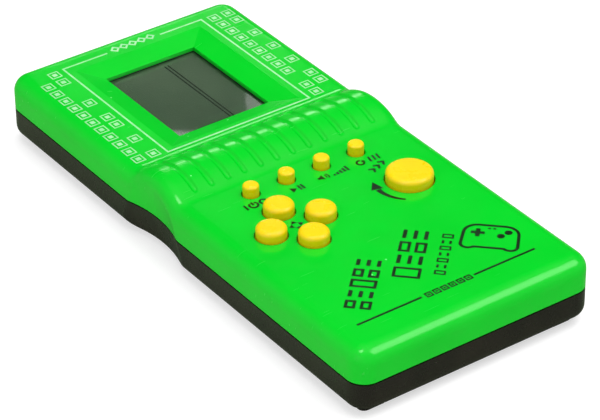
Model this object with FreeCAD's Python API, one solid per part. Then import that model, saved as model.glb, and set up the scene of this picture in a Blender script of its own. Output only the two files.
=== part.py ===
import FreeCAD, Part
import os
from math import asin, atan2, cos, degrees, hypot, radians, sin, sqrt, tan

# Handheld LCD game lying on its back: +X is the user's right, +Y the display end, +Z out of the face.
# The origin is on the resting plane, below the middle of the case.  All sizes are in millimetres.

V = FreeCAD.Vector

# ---- case ----
CASE_LENGTH = 186.0
CASE_WIDTH = 83.6
CORNER_ROUND = 6.0
REST_PANEL_HEIGHT = 1.6
REST_PANEL_INSET = 3.9
REAR_DEPTH = 10.1
FRONT_DEPTH = 11.0
SEAM_GAP = 0.5
FRONT_WALL = 2.0
REAR_WALL = 2.0
FRONT_EDGE_ROUND = 5.2
REAR_EDGE_ROUND = 4.0
SEAM_LIP_HEIGHT = 1.5
SEAM_LIP_CLEARANCE = 0.15

# ---- waist and grip roll ----
WAIST_Y = 10.6
WAIST_DEPTH = 2.2
WAIST_RADIUS = 41.0
WAIST_SLOPE = 0.13
WAIST_EDGE_ROUND = 4.0
REAR_WAIST_EDGE_ROUND = 2.0
ROLL_Y = 10.1
ROLL_HEIGHT = 3.9
ROLL_RADIUS = 20.0
ROLL_VALLEY_RADIUS = 5.0
GROOVE_COUNT = 12
GROOVE_PITCH = 5.89
GROOVE_RADIUS = 1.05
GROOVE_DEPTH = 0.7
GROOVE_FOOT_Y = 0.9
GROOVE_TOP_Y = 19.9
GROOVE_EDGE_ROUND = 0.5
SCALLOP_RADIUS = 2.1
SCALLOP_DEPTH = 0.91

# ---- display ----
WINDOW_WIDTH = 33.0
WINDOW_LENGTH = 41.5
WINDOW_Y = 53.9
BEZEL_WIDTH = 47.0
BEZEL_LENGTH = 54.8
BEZEL_DEPTH = 2.2
WINDOW_LIP = 1.2
WINDOW_SURROUND = 2.0
SURROUND_CORNER = 2.0
LENS_OVERLAP = 2.1
LENS_THICK = 1.0
LCD_OVERLAP = 2.7
LCD_EDGE = 4.5
LCD_THICK = 1.1
FILM_THICK = 0.2
HOLDER_WALL = 3.0
HOLDER_CORNER = 1.5
ZEBRA_WIDTH = 2.0
STACK_CLEARANCE = 0.05
POCKET_CLEARANCE = 0.3

# ---- keys ----
KEY_STAND = 3.4
KEY_HOLE_CLEARANCE = 0.45
KEY_FLANGE_WIDTH = 1.0
KEY_FLANGE_THICK = 1.0
KEY_FLANGE_GAP = 0.3
KEY_CAP_WALL = 1.2
KEY_ROOF = 1.6
KEY_EDGE_SHARE = 0.32
KEY_EDGE_ROUND = 1.5
KEY_TRAVEL = 1.2
FUNCTION_RADIUS = 2.5
FUNCTION_Y = -8.7
FUNCTION_PITCH = 12.75
DIRECTION_RADIUS = 4.65
DIRECTION_X = -18.0
DIRECTION_Y = -30.1
DIRECTION_GAP = 0.81
ROTATE_RADIUS = 7.25
ROTATE_X = 23.15
ROTATE_Y = -30.0

# ---- key sheets ----
SHEET_THICK = 1.0
SHEET_MARGIN = 1.2
SHEET_CORNER = 2.0
DOME_HEIGHT = 2.6
DOME_FOOT_RADIUS = 3.2
DOME_TOP_RADIUS = 1.9
DOME_SKIN = 0.5
DOME_ROOF = 1.0
DOME_PLUNGER_RADIUS = 1.5
PILL_RADIUS = 1.3
PILL_THICK = 0.6
PILL_DROP = 0.6
PAD_RADIUS = 1.7
PAD_THICK = 0.06
PAD_SPLIT = 0.4

# ---- circuit board ----
BOARD_DROP = 7.1
BOARD_THICK = 1.2
BOARD_HALF_WIDTH = 35.6
BOARD_BOTTOM_Y = -43.9
BOARD_TOP_Y = 81.4
BOARD_CORNER = 2.0
BOARD_POST_RADIUS = 2.4
BOARD_SCREW_RADIUS = 1.0
BOARD_SCREW_HEAD_RADIUS = 2.1
BOARD_SCREW_HEAD_THICK = 1.3
BOARD_SCREW_LENGTH = 6.0
BOARD_SCREW_X = 32.4
BOARD_SCREW_YS = (76.0, 12.0, -40.5)

# ---- what is on the board ----
BLOB_RADIUS = 6.5
BLOB_HEIGHT = 1.8
CAN_RADIUS = 2.5
CAN_LENGTH = 11.0
CAN_X = 26.0
CERAMIC_RADIUS = 2.4
CERAMIC_THICK = 1.6
CERAMIC_XS = (-10.0, -2.0)
CAPACITOR_Y = 12.0
RESISTOR_RADIUS = 1.0
RESISTOR_LENGTH = 6.0
RESISTOR_LIFT = 0.2
RESISTOR_COUNT = 4
RESISTOR_X = 8.0
RESISTOR_Y = 4.0
RESISTOR_PITCH = 5.0

# ---- case screws ----
CASE_SCREW_RADIUS = 1.25
CASE_SCREW_HEAD_RADIUS = 2.4
CASE_SCREW_HEAD_THICK = 1.6
CASE_SCREW_LENGTH = 10.0
CASE_POST_RADIUS = 2.7
CASE_REAR_POST_RADIUS = 3.9
CASE_SCREW_X = 34.6
CASE_SCREW_END_INSET = 7.2
CASE_SCREW_MIDDLE_Y = -48.2
CASE_SCREW_SEAT_Z = 5.2
SCREW_CROSS_REACH = 0.6
SCREW_CROSS_HALF = 0.13
SCREW_CROSS_DEPTH = 0.4
SCREW_HEAD_ROUND = 0.3
SCREW_PILOT_CLEARANCE = 0.05
SCREW_HOLE_CLEARANCE = 0.2

# ---- batteries ----
CELL_RADIUS = 7.25
CELL_LENGTH = 50.5
CELL_CLEARANCE = 0.3
CELL_NUB_RADIUS = 2.7
CELL_NUB_LENGTH = 1.5
CELL_EDGE_ROUND = 0.5
BAY_Y = -66.5
BAY_WALL = 1.4
SPRING_LENGTH = 6.5
SPRING_RADIUS = 3.2
SPRING_WIRE_RADIUS = 0.35
SPRING_TURNS = 4
PLATE_THICK = 0.4
PLATE_HALF_WIDTH = 5.0
TAB_HALF_WIDTH = 1.0
TAB_REACH = 3.0

# ---- battery door ----
DOOR_THICK = 1.5
DOOR_LIFT = 0.05
DOOR_DOVETAIL = 0.8
DOOR_CLEARANCE = 0.2
DOOR_SIDE_MARGIN = 1.9
DOOR_TOP_MARGIN = 3.4
DOOR_GRIP_COUNT = 6
DOOR_GRIP_PITCH = 2.0
DOOR_GRIP_RADIUS = 0.5
DOOR_GRIP_LENGTH = 24.0
DOOR_GRIP_INSET = 6.0

# ---- buzzer ----
BUZZER_Y = 4.0
BUZZER_PLATE_RADIUS = 13.5
BUZZER_PLATE_THICK = 0.25
BUZZER_DISC_RADIUS = 9.5
BUZZER_DISC_THICK = 0.25
BUZZER_SEAT_WALL = 1.0
BUZZER_SEAT_HEIGHT = 1.4
SOUND_HOLE_RADIUS = 0.8
SOUND_HOLE_RING = 4.5
SOUND_HOLE_COUNT = 6

LEAD_RADIUS = 0.55

# ---- levels and widths that follow ----
HALF_LENGTH = CASE_LENGTH / 2
HALF_WIDTH = CASE_WIDTH / 2
SEAM_Z = REST_PANEL_HEIGHT + REAR_DEPTH
REAR_TOP_Z = SEAM_Z - SEAM_GAP / 2
FRONT_BOTTOM_Z = SEAM_Z + SEAM_GAP / 2
FACE_Z = SEAM_Z + FRONT_DEPTH
FACE_INNER_Z = FACE_Z - FRONT_WALL
REAR_FLOOR_Z = REST_PANEL_HEIGHT + REAR_WALL
LIP_TOP_Z = REAR_TOP_Z + SEAM_LIP_HEIGHT
LIP_INSET = REAR_WALL / 2
ROLL_AXIS_Z = FACE_Z + ROLL_HEIGHT - ROLL_RADIUS
ROLL_ARC_SUM = ROLL_RADIUS + ROLL_VALLEY_RADIUS
ROLL_REACH = sqrt(ROLL_ARC_SUM**2 - (ROLL_ARC_SUM - ROLL_HEIGHT) ** 2)
LIP_BOTTOM_Z = FACE_Z - BEZEL_DEPTH - WINDOW_LIP
BOARD_TOP_Z = FACE_INNER_Z - BOARD_DROP
BOARD_BOTTOM_Z = BOARD_TOP_Z - BOARD_THICK
SHEET_TOP_Z = BOARD_TOP_Z + SHEET_THICK
DOME_TOP_Z = SHEET_TOP_Z + DOME_HEIGHT
FLANGE_TOP_Z = FACE_INNER_Z - KEY_FLANGE_GAP
KEY_TOP_Z = FACE_Z + KEY_STAND
BAY_HALF_LENGTH = (CELL_LENGTH + SPRING_LENGTH) / 2 + PLATE_THICK + 2 * STACK_CLEARANCE
BAY_HALF_WIDTH = 2 * CELL_RADIUS + 1.5 * CELL_CLEARANCE
CELL_Z = DOOR_LIFT + DOOR_THICK + CELL_CLEARANCE + CELL_RADIUS + 2 * STACK_CLEARANCE
BAY_ROOF_Z = CELL_Z + CELL_RADIUS + CELL_CLEARANCE
DOOR_HALF_WIDTH = BAY_HALF_LENGTH + DOOR_SIDE_MARGIN
DOOR_TOP_Y = BAY_Y + BAY_HALF_WIDTH + DOOR_TOP_MARGIN
DOOR_BOTTOM_Y = -(HALF_LENGTH - REST_PANEL_INSET)

DIRECTION_OFFSET = sqrt(2) * (DIRECTION_RADIUS + KEY_FLANGE_WIDTH) + DIRECTION_GAP
FUNCTION_KEYS = ("power", "start_pause", "sound", "reset")
FUNCTION_CENTRES = [((i - 1.5) * FUNCTION_PITCH, FUNCTION_Y) for i in range(len(FUNCTION_KEYS))]
DIRECTION_KEYS = {"up": (0, 1), "down": (0, -1), "left": (-1, 0), "right": (1, 0)}

KEYS = {}
for key_name, centre in zip(FUNCTION_KEYS, FUNCTION_CENTRES):
    KEYS[key_name] = (centre[0], centre[1], FUNCTION_RADIUS)
for key_name, (step_x, step_y) in DIRECTION_KEYS.items():
    key_x = DIRECTION_X + step_x * DIRECTION_OFFSET
    KEYS[key_name] = (key_x, DIRECTION_Y + step_y * DIRECTION_OFFSET, DIRECTION_RADIUS)
KEYS["rotate"] = (ROTATE_X, ROTATE_Y, ROTATE_RADIUS)

CASE_SCREW_YS = (HALF_LENGTH - CASE_SCREW_END_INSET, CASE_SCREW_MIDDLE_Y, CASE_SCREW_END_INSET - HALF_LENGTH)
CASE_SCREWS = [(side * CASE_SCREW_X, y) for y in CASE_SCREW_YS for side in (-1, 1)]
BOARD_SCREWS = [(side * BOARD_SCREW_X, y) for y in BOARD_SCREW_YS for side in (-1, 1)]


# ---- shape helpers ----
def box(x0, x1, y0, y1, z0, z1):
    return Part.makeBox(x1 - x0, y1 - y0, z1 - z0, V(x0, y0, z0))


def rod(x, y, z0, z1, radius):
    return Part.makeCylinder(radius, z1 - z0, V(x, y, z0))


def tube(x, y, z0, z1, outer, inner):
    return rod(x, y, z0, z1, outer).cut(rod(x, y, z0 - 1, z1 + 1, inner))


def fuse_all(first, others):
    whole = first
    for other in others:
        whole = whole.fuse(other)
    return whole.removeSplitter()


def cut_all(first, others):
    whole = first
    for other in others:
        whole = whole.cut(other)
    return whole


def rounded_box(half_x, y0, y1, z0, z1, radius):
    plain = box(-half_x, half_x, y0, y1, z0, z1)
    upright = [e for e in plain.Edges if abs(e.Vertexes[0].Z - e.Vertexes[1].Z) > (z1 - z0) / 2]
    return plain.makeFillet(radius, upright)


def waist_cutters(inset):
    """A cone beside each flank: the waist is deepest at the back and almost gone at the face."""
    z0, z1 = -1.0, FACE_Z + 2 * ROLL_HEIGHT
    centre_x = HALF_WIDTH - WAIST_DEPTH + WAIST_RADIUS
    r0 = WAIST_RADIUS + inset + WAIST_SLOPE * (SEAM_Z - z0)
    r1 = WAIST_RADIUS + inset + WAIST_SLOPE * (SEAM_Z - z1)
    return [Part.makeCone(r0, r1, z1 - z0, V(side * centre_x, WAIST_Y, z0)) for side in (-1, 1)]


def corner_round(inset):
    return max(CORNER_ROUND - inset, 1.0)


def full_block(inset, z0, z1):
    half_y = HALF_LENGTH - inset
    return rounded_box(HALF_WIDTH - inset, -half_y, half_y, z0, z1, corner_round(inset))


def case_block(inset, z0, z1):
    return cut_all(full_block(inset, z0, z1), waist_cutters(inset))


def round_rim(solid, z, radius):
    rim = [e for e in solid.Edges if all(abs(v.Z - z) < 1e-4 for v in e.Vertexes)]
    return solid.makeFillet(radius, rim)


def soften_waist(body, open_z, radius):
    """Rounds the edges where the two cones cut the flanks, all but those of the open side at open_z."""
    edges = []
    for face in body.Faces:
        if isinstance(face.Surface, Part.Cone):
            for edge in face.Edges:
                open_side = all(abs(v.Z - open_z) < 0.01 for v in edge.Vertexes)
                if not open_side and not any(edge.isSame(other) for other in edges):
                    edges.append(edge)
    return body.makeFillet(radius, edges)


# ---- front cover ----
def front_body(inset, z_low):
    """Block under the face and the grip roll, whose crest and two valleys are tangent arcs."""
    crest = ROLL_RADIUS - inset
    valley = ROLL_VALLEY_RADIUS + inset
    face = FACE_Z - inset
    half_y = HALF_LENGTH - inset
    join = ROLL_REACH * crest / (crest + valley)
    join_z = ROLL_AXIS_Z + sqrt(crest**2 - join**2)
    w = HALF_WIDTH - inset

    def at(y, z):
        return V(-w, y, z)

    def valley_arc(side):
        centre_y = ROLL_Y + side * ROLL_REACH
        half_turn = atan2(ROLL_REACH, ROLL_ARC_SUM - ROLL_HEIGHT) / 2
        middle = at(centre_y - side * valley * sin(half_turn), face + valley * (1 - cos(half_turn)))
        return Part.Arc(at(centre_y, face), middle, at(ROLL_Y + side * join, join_z)).toShape()

    crest_arc = Part.Arc(at(ROLL_Y + join, join_z), at(ROLL_Y, ROLL_AXIS_Z + crest), at(ROLL_Y - join, join_z))
    edges = [
        Part.makeLine(at(-half_y, z_low), at(half_y, z_low)),
        Part.makeLine(at(half_y, z_low), at(half_y, face)),
        Part.makeLine(at(half_y, face), at(ROLL_Y + ROLL_REACH, face)),
        valley_arc(1),
        crest_arc.toShape(),
        valley_arc(-1),
        Part.makeLine(at(ROLL_Y - ROLL_REACH, face), at(-half_y, face)),
        Part.makeLine(at(-half_y, face), at(-half_y, z_low)),
    ]
    profile = Part.Face(Part.Wire(Part.__sortEdges__(edges)))
    body = profile.extrude(V(2 * w, 0, 0)).common(full_block(inset, z_low - 1, face + 2 * ROLL_HEIGHT))
    rim = []
    for edge in body.Edges:
        middle = edge.valueAt((edge.FirstParameter + edge.LastParameter) / 2)
        outside = abs(middle.x) > w - corner_round(inset) or abs(middle.y) > half_y - corner_round(inset)
        if outside and min(v.Z for v in edge.Vertexes) > face - 1e-3:
            rim.append(edge)
    body = body.makeFillet(FRONT_EDGE_ROUND - inset, rim)
    return soften_waist(cut_all(body, waist_cutters(inset)), z_low, WAIST_EDGE_ROUND - inset)


def roll_angle(y):
    """Turn from the crest, in degrees about +X, of the roll's surface point at y."""
    return degrees(asin((y - ROLL_Y) / ROLL_RADIUS))


def grip_groove(x):
    """Groove that follows the roll, with a ball foot and a wider scalloped top end."""
    centre_r = ROLL_RADIUS + GROOVE_RADIUS - GROOVE_DEPTH
    foot = roll_angle(GROOVE_FOOT_Y)
    top = roll_angle(GROOVE_TOP_Y)
    axis_point = V(x, ROLL_Y, ROLL_AXIS_Z)
    circle = Part.makeCircle(GROOVE_RADIUS, V(x, ROLL_Y, ROLL_AXIS_Z + centre_r), V(0, 1, 0))
    section = Part.Face(Part.Wire(circle))
    section.rotate(axis_point, V(1, 0, 0), -foot)
    bend = section.revolve(axis_point, V(1, 0, 0), foot - top)
    foot_ball = Part.makeSphere(GROOVE_RADIUS, V(x, ROLL_Y, ROLL_AXIS_Z + centre_r))
    foot_ball.rotate(axis_point, V(1, 0, 0), -foot)
    scallop_r = ROLL_RADIUS + SCALLOP_RADIUS - SCALLOP_DEPTH
    top_ball = Part.makeSphere(SCALLOP_RADIUS, V(x, ROLL_Y, ROLL_AXIS_Z + scallop_r))
    top_ball.rotate(axis_point, V(1, 0, 0), -top)
    return [bend, foot_ball, top_ball]


def left_by_groove(face):
    """True of the bent trough of a groove and of its two ball ends."""
    surface = face.Surface
    if isinstance(surface, Part.Toroid):
        return abs(surface.MinorRadius - GROOVE_RADIUS) < 1e-3
    if isinstance(surface, Part.Sphere):
        return min(abs(surface.Radius - GROOVE_RADIUS), abs(surface.Radius - SCALLOP_RADIUS)) < 1e-3
    return False


def soften_grooves(shell):
    """Rounds the rims of the grooves, but not the seams between a trough and its ends."""
    edges = [edge for face in shell.Faces if left_by_groove(face) for edge in face.Edges]
    rims = [edge for edge in edges if sum(edge.isSame(other) for other in edges) == 1]
    return shell.makeFillet(GROOVE_EDGE_ROUND, rims)


def bezel_funnel():
    """Four sloping sides from the bezel's outer edge down to the window."""
    def rim(half_x, half_y, z):
        signs = ((-1, -1), (1, -1), (1, 1), (-1, 1))
        corners = [V(sx * half_x, WINDOW_Y + sy * half_y, z) for sx, sy in signs]
        return Part.makePolygon(corners + corners[:1])
    rise = 1.0
    grow_x = (BEZEL_WIDTH - WINDOW_WIDTH) / 2 * rise / BEZEL_DEPTH
    grow_y = (BEZEL_LENGTH - WINDOW_LENGTH) / 2 * rise / BEZEL_DEPTH
    low = rim(WINDOW_WIDTH / 2, WINDOW_LENGTH / 2, FACE_Z - BEZEL_DEPTH)
    high = rim(BEZEL_WIDTH / 2 + grow_x, BEZEL_LENGTH / 2 + grow_y, FACE_Z + rise)
    return Part.makeLoft([low, high], True, True)


def window_box(margin, z0, z1):
    half_y = WINDOW_LENGTH / 2 + margin
    half_x = WINDOW_WIDTH / 2 + margin
    return box(-half_x, half_x, WINDOW_Y - half_y, WINDOW_Y + half_y, z0, z1)


def front_cover():
    outer = front_body(0, FRONT_BOTTOM_Z)
    hollow = front_body(FRONT_WALL, FRONT_BOTTOM_Z - 1)
    rebate_top = LIP_TOP_Z + SEAM_LIP_CLEARANCE
    rebate = case_block(LIP_INSET, FRONT_BOTTOM_Z - 1, rebate_top)
    shell = outer.cut(hollow).cut(rebate)
    surround = rounded_box(
        BEZEL_WIDTH / 2 + WINDOW_SURROUND, WINDOW_Y - BEZEL_LENGTH / 2 - WINDOW_SURROUND,
        WINDOW_Y + BEZEL_LENGTH / 2 + WINDOW_SURROUND, LIP_BOTTOM_Z, FACE_Z - FRONT_WALL / 2, SURROUND_CORNER)
    shell = shell.fuse(surround)
    shell = cut_all(shell, [bezel_funnel(), window_box(0, LIP_BOTTOM_Z - 1, FACE_Z)])
    posts = []
    for x, y in CASE_SCREWS:
        posts.append(rod(x, y, LIP_TOP_Z, FACE_Z + ROLL_HEIGHT, CASE_POST_RADIUS))
    for x, y in BOARD_SCREWS:
        posts.append(rod(x, y, BOARD_TOP_Z, FACE_Z + ROLL_HEIGHT, BOARD_POST_RADIUS))
    shell = fuse_all(shell, [post.common(outer) for post in posts])
    cutters = []
    for x, y in CASE_SCREWS:
        pilot = CASE_SCREW_RADIUS + SCREW_PILOT_CLEARANCE
        cutters.append(rod(x, y, LIP_TOP_Z - 1, CASE_SCREW_SEAT_Z + CASE_SCREW_LENGTH + 1, pilot))
    for x, y in BOARD_SCREWS:
        pilot = BOARD_SCREW_RADIUS + SCREW_PILOT_CLEARANCE
        depth = BOARD_SCREW_LENGTH - BOARD_THICK + 1
        cutters.append(rod(x, y, BOARD_TOP_Z - 1, BOARD_TOP_Z + depth, pilot))
    for x, y, radius in KEYS.values():
        cutters.append(rod(x, y, FACE_INNER_Z - 1, FACE_Z + 1, radius + KEY_HOLE_CLEARANCE))
    shell = cut_all(shell, cutters)
    for i in range(GROOVE_COUNT):
        shell = cut_all(shell, grip_groove((i - (GROOVE_COUNT - 1) / 2) * GROOVE_PITCH))
    return soften_grooves(shell)


# ---- rear cover and door ----
def door_plate(gap, bottom_y, z0, z1):
    """Dovetail plate: narrow on the outside and wider on the inside."""
    w_out = DOOR_HALF_WIDTH - DOOR_DOVETAIL + gap
    w_in = DOOR_HALF_WIDTH + gap
    y_end = DOOR_TOP_Y + gap
    corners = [V(-w_out, y_end, z0), V(w_out, y_end, z0), V(w_in, y_end, z1), V(-w_in, y_end, z1)]
    section = Part.Face(Part.makePolygon(corners + corners[:1]))
    return section.extrude(V(0, bottom_y - y_end, 0))


def rear_cover():
    outer = round_rim(full_block(0, REST_PANEL_HEIGHT, REAR_TOP_Z), REST_PANEL_HEIGHT, REAR_EDGE_ROUND)
    outer = soften_waist(cut_all(outer, waist_cutters(0)), REAR_TOP_Z, REAR_WAIST_EDGE_ROUND)
    outer = outer.fuse(case_block(REST_PANEL_INSET, 0, REST_PANEL_HEIGHT + 1))
    hollow = full_block(REAR_WALL, REAR_FLOOR_Z, REAR_TOP_Z + 1)
    hollow = round_rim(hollow, REAR_FLOOR_Z, REAR_EDGE_ROUND - REAR_WALL)
    shell = outer.cut(cut_all(hollow, waist_cutters(REAR_WALL)))
    lip_inset = LIP_INSET + SEAM_LIP_CLEARANCE
    lip = case_block(lip_inset, REAR_TOP_Z - 1, LIP_TOP_Z)
    lip = lip.cut(case_block(REAR_WALL, REAR_TOP_Z - 2, LIP_TOP_Z + 1))
    bay_out = BAY_HALF_LENGTH + BAY_WALL
    bay_y = BAY_HALF_WIDTH + BAY_WALL
    tub = box(-bay_out, bay_out, BAY_Y - bay_y, BAY_Y + bay_y, REAR_FLOOR_Z - 1, BAY_ROOF_Z + BAY_WALL)
    posts = [rod(x, y, REST_PANEL_HEIGHT, LIP_TOP_Z - SEAM_LIP_CLEARANCE, CASE_REAR_POST_RADIUS)
             for x, y in CASE_SCREWS]
    seat_radius = BUZZER_PLATE_RADIUS + CELL_CLEARANCE
    seat = tube(0, BUZZER_Y, REAR_FLOOR_Z - 0.5, REAR_FLOOR_Z + BUZZER_SEAT_HEIGHT,
                seat_radius + BUZZER_SEAT_WALL, seat_radius)
    inside = case_block(REAR_WALL, REST_PANEL_HEIGHT, LIP_TOP_Z)
    shell = fuse_all(shell, [lip, tub, seat] + [post.common(inside) for post in posts])
    cutters = [box(-BAY_HALF_LENGTH, BAY_HALF_LENGTH, BAY_Y - BAY_HALF_WIDTH, BAY_Y + BAY_HALF_WIDTH,
                   -1, BAY_ROOF_Z)]
    channel_top = DOOR_LIFT + DOOR_THICK + DOOR_CLEARANCE
    cutters.append(door_plate(DOOR_CLEARANCE, -HALF_LENGTH - 1, 0, channel_top))
    for x, y in CASE_SCREWS:
        shank_hole = CASE_SCREW_RADIUS + SCREW_HOLE_CLEARANCE
        head_hole = CASE_SCREW_HEAD_RADIUS + SCREW_HOLE_CLEARANCE
        cutters.append(rod(x, y, CASE_SCREW_SEAT_Z - 1, LIP_TOP_Z + 1, shank_hole))
        cutters.append(rod(x, y, -1, CASE_SCREW_SEAT_Z, head_hole))
    for turn in range(SOUND_HOLE_COUNT):
        hole = rod(SOUND_HOLE_RING, BUZZER_Y, -1, REAR_FLOOR_Z + 1, SOUND_HOLE_RADIUS)
        hole.rotate(V(0, BUZZER_Y, 0), V(0, 0, 1), 360 * turn / SOUND_HOLE_COUNT)
        cutters.append(hole)
    cutters.append(rod(0, BUZZER_Y, -1, REAR_FLOOR_Z + 1, SOUND_HOLE_RADIUS))
    for s in (-1, 1):
        cutters.append(tab_box(s, STACK_CLEARANCE))
    return cut_all(shell, cutters)


def battery_door():
    plate = door_plate(0, DOOR_BOTTOM_Y, DOOR_LIFT, DOOR_LIFT + DOOR_THICK)
    grips = []
    for i in range(DOOR_GRIP_COUNT):
        start = V(-DOOR_GRIP_LENGTH / 2, DOOR_BOTTOM_Y + DOOR_GRIP_INSET + i * DOOR_GRIP_PITCH, DOOR_LIFT)
        grips.append(Part.makeCylinder(DOOR_GRIP_RADIUS, DOOR_GRIP_LENGTH, start, V(1, 0, 0)))
    return cut_all(plate, grips)


# ---- display ----
def display_lens():
    top = LIP_BOTTOM_Z - STACK_CLEARANCE
    return window_box(LENS_OVERLAP, top - LENS_THICK, top)


def lcd_levels():
    polariser_top = LIP_BOTTOM_Z - LENS_THICK - 4 * STACK_CLEARANCE
    panel_top = polariser_top - FILM_THICK - STACK_CLEARANCE
    reflector_top = panel_top - LCD_THICK - STACK_CLEARANCE
    return polariser_top, panel_top, reflector_top


def lcd_box(trim_y, z_top, thick):
    half_x = WINDOW_WIDTH / 2 + LCD_OVERLAP
    half_y = WINDOW_LENGTH / 2 + LCD_EDGE - trim_y
    return box(-half_x, half_x, WINDOW_Y - half_y, WINDOW_Y + half_y, z_top - thick, z_top)


def lcd_holder():
    half_x = WINDOW_WIDTH / 2 + LCD_OVERLAP
    half_y = WINDOW_LENGTH / 2 + LCD_EDGE
    top = LIP_BOTTOM_Z - LENS_THICK - 3 * STACK_CLEARANCE
    low = BOARD_TOP_Z + STACK_CLEARANCE
    outer_y = half_y + HOLDER_WALL
    whole = rounded_box(half_x + HOLDER_WALL, WINDOW_Y - outer_y, WINDOW_Y + outer_y, low, top, HOLDER_CORNER)
    c = POCKET_CLEARANCE
    pocket = box(-half_x - c, half_x + c, WINDOW_Y - half_y - c, WINDOW_Y + half_y + c, low - 1, top + 1)
    return whole.cut(pocket)


def zebra_strips():
    panel_bottom = lcd_levels()[1] - LCD_THICK
    half_x = WINDOW_WIDTH / 2
    strips = []
    for s in (-1, 1):
        y = WINDOW_Y + s * (WINDOW_LENGTH / 2 + LCD_EDGE - ZEBRA_WIDTH)
        strips.append(box(-half_x, half_x, y - ZEBRA_WIDTH / 2, y + ZEBRA_WIDTH / 2,
                          BOARD_TOP_Z + STACK_CLEARANCE, panel_bottom - STACK_CLEARANCE))
    return Part.Compound(strips)


# ---- keys ----
def key_cap(x, y, radius):
    body = rod(x, y, FLANGE_TOP_Z - KEY_FLANGE_THICK, KEY_TOP_Z, radius)
    soft = min(KEY_EDGE_SHARE * radius, KEY_EDGE_ROUND)
    rim = [e for e in body.Edges if all(abs(v.Z - KEY_TOP_Z) < 1e-4 for v in e.Vertexes)]
    body = body.makeFillet(soft, rim)
    flange = rod(x, y, FLANGE_TOP_Z - KEY_FLANGE_THICK, FLANGE_TOP_Z, radius + KEY_FLANGE_WIDTH)
    cap = body.fuse(flange)
    inner = radius - KEY_CAP_WALL
    if inner > DOME_TOP_RADIUS:
        cap = cap.cut(rod(x, y, FLANGE_TOP_Z - KEY_FLANGE_THICK - 1, KEY_TOP_Z - KEY_ROOF, inner))
    stem = rod(x, y, DOME_TOP_Z + STACK_CLEARANCE, KEY_TOP_Z - KEY_ROOF / 2, min(DOME_TOP_RADIUS, inner))
    return cap.fuse(stem).removeSplitter()


def key_dome(x, y):
    """Silicone dome: a thin cone wall, and a plunger under its roof that carries the carbon pill."""
    outer = Part.makeCone(DOME_FOOT_RADIUS, DOME_TOP_RADIUS, DOME_HEIGHT, V(x, y, SHEET_TOP_Z))
    roof = DOME_HEIGHT - DOME_ROOF
    slope = (DOME_FOOT_RADIUS - DOME_TOP_RADIUS) / DOME_HEIGHT
    inner_top = DOME_FOOT_RADIUS - DOME_SKIN - slope * roof
    inner = Part.makeCone(DOME_FOOT_RADIUS - DOME_SKIN, inner_top, roof, V(x, y, SHEET_TOP_Z))
    plunger_foot = SHEET_TOP_Z + roof - PILL_DROP
    plunger = rod(x, y, plunger_foot, SHEET_TOP_Z + roof + DOME_ROOF / 2, DOME_PLUNGER_RADIUS)
    return outer.cut(inner).fuse(plunger).removeSplitter()


def carbon_pill(x, y):
    top = SHEET_TOP_Z + DOME_HEIGHT - DOME_ROOF - PILL_DROP - STACK_CLEARANCE
    return rod(x, y, top - PILL_THICK, top, PILL_RADIUS)


def key_sheet(names, plate):
    holes = [rod(KEYS[n][0], KEYS[n][1], BOARD_TOP_Z - 1, SHEET_TOP_Z + 1, DOME_FOOT_RADIUS - DOME_SKIN)
             for n in names]
    return cut_all(plate, holes)


def function_sheet():
    half_x = 1.5 * FUNCTION_PITCH + DOME_FOOT_RADIUS + SHEET_MARGIN
    half_y = DOME_FOOT_RADIUS + SHEET_MARGIN
    z0 = BOARD_TOP_Z + PAD_THICK
    plate = rounded_box(half_x, FUNCTION_Y - half_y, FUNCTION_Y + half_y, z0, SHEET_TOP_Z, SHEET_CORNER)
    return key_sheet(FUNCTION_KEYS, plate)


def direction_sheet():
    radius = DIRECTION_OFFSET + DOME_FOOT_RADIUS + SHEET_MARGIN
    plate = rod(DIRECTION_X, DIRECTION_Y, BOARD_TOP_Z + PAD_THICK, SHEET_TOP_Z, radius)
    return key_sheet(DIRECTION_KEYS, plate)


def rotate_sheet():
    radius = DOME_FOOT_RADIUS + 3 * SHEET_MARGIN
    return key_sheet(["rotate"], rod(ROTATE_X, ROTATE_Y, BOARD_TOP_Z + PAD_THICK, SHEET_TOP_Z, radius))


def key_contacts():
    pads = []
    for x, y, _ in KEYS.values():
        disc = rod(x, y, BOARD_TOP_Z, BOARD_TOP_Z + PAD_THICK, PAD_RADIUS)
        split = box(x - PAD_SPLIT / 2, x + PAD_SPLIT / 2, y - 2 * PAD_RADIUS, y + 2 * PAD_RADIUS,
                    BOARD_TOP_Z - 1, BOARD_TOP_Z + 1)
        pads.extend(disc.cut(split).Solids)
    return Part.Compound(pads)


# ---- circuit board and what is on it ----
def circuit_board():
    levels = (BOARD_BOTTOM_Z, BOARD_TOP_Z)
    board = rounded_box(BOARD_HALF_WIDTH, BOARD_BOTTOM_Y, BOARD_TOP_Y, *levels, BOARD_CORNER)
    holes = [rod(x, y, BOARD_BOTTOM_Z - 1, BOARD_TOP_Z + 1, BOARD_SCREW_RADIUS + SCREW_HOLE_CLEARANCE)
             for x, y in BOARD_SCREWS]
    return cut_all(board, holes)


def chip_blob():
    """Cap of a ball, whose foot on the board has the blob's radius."""
    ball = (BLOB_RADIUS**2 + BLOB_HEIGHT**2) / (2 * BLOB_HEIGHT)
    dome = Part.makeSphere(ball, V(0, WINDOW_Y, BOARD_TOP_Z + BLOB_HEIGHT - ball))
    keep = box(-ball, ball, WINDOW_Y - ball, WINDOW_Y + ball, BOARD_TOP_Z, BOARD_TOP_Z + 2 * BLOB_HEIGHT)
    return dome.common(keep)


def soft_ends(cylinder, radius):
    return cylinder.makeFillet(radius, [e for e in cylinder.Edges if isinstance(e.Curve, Part.Circle)])


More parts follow.
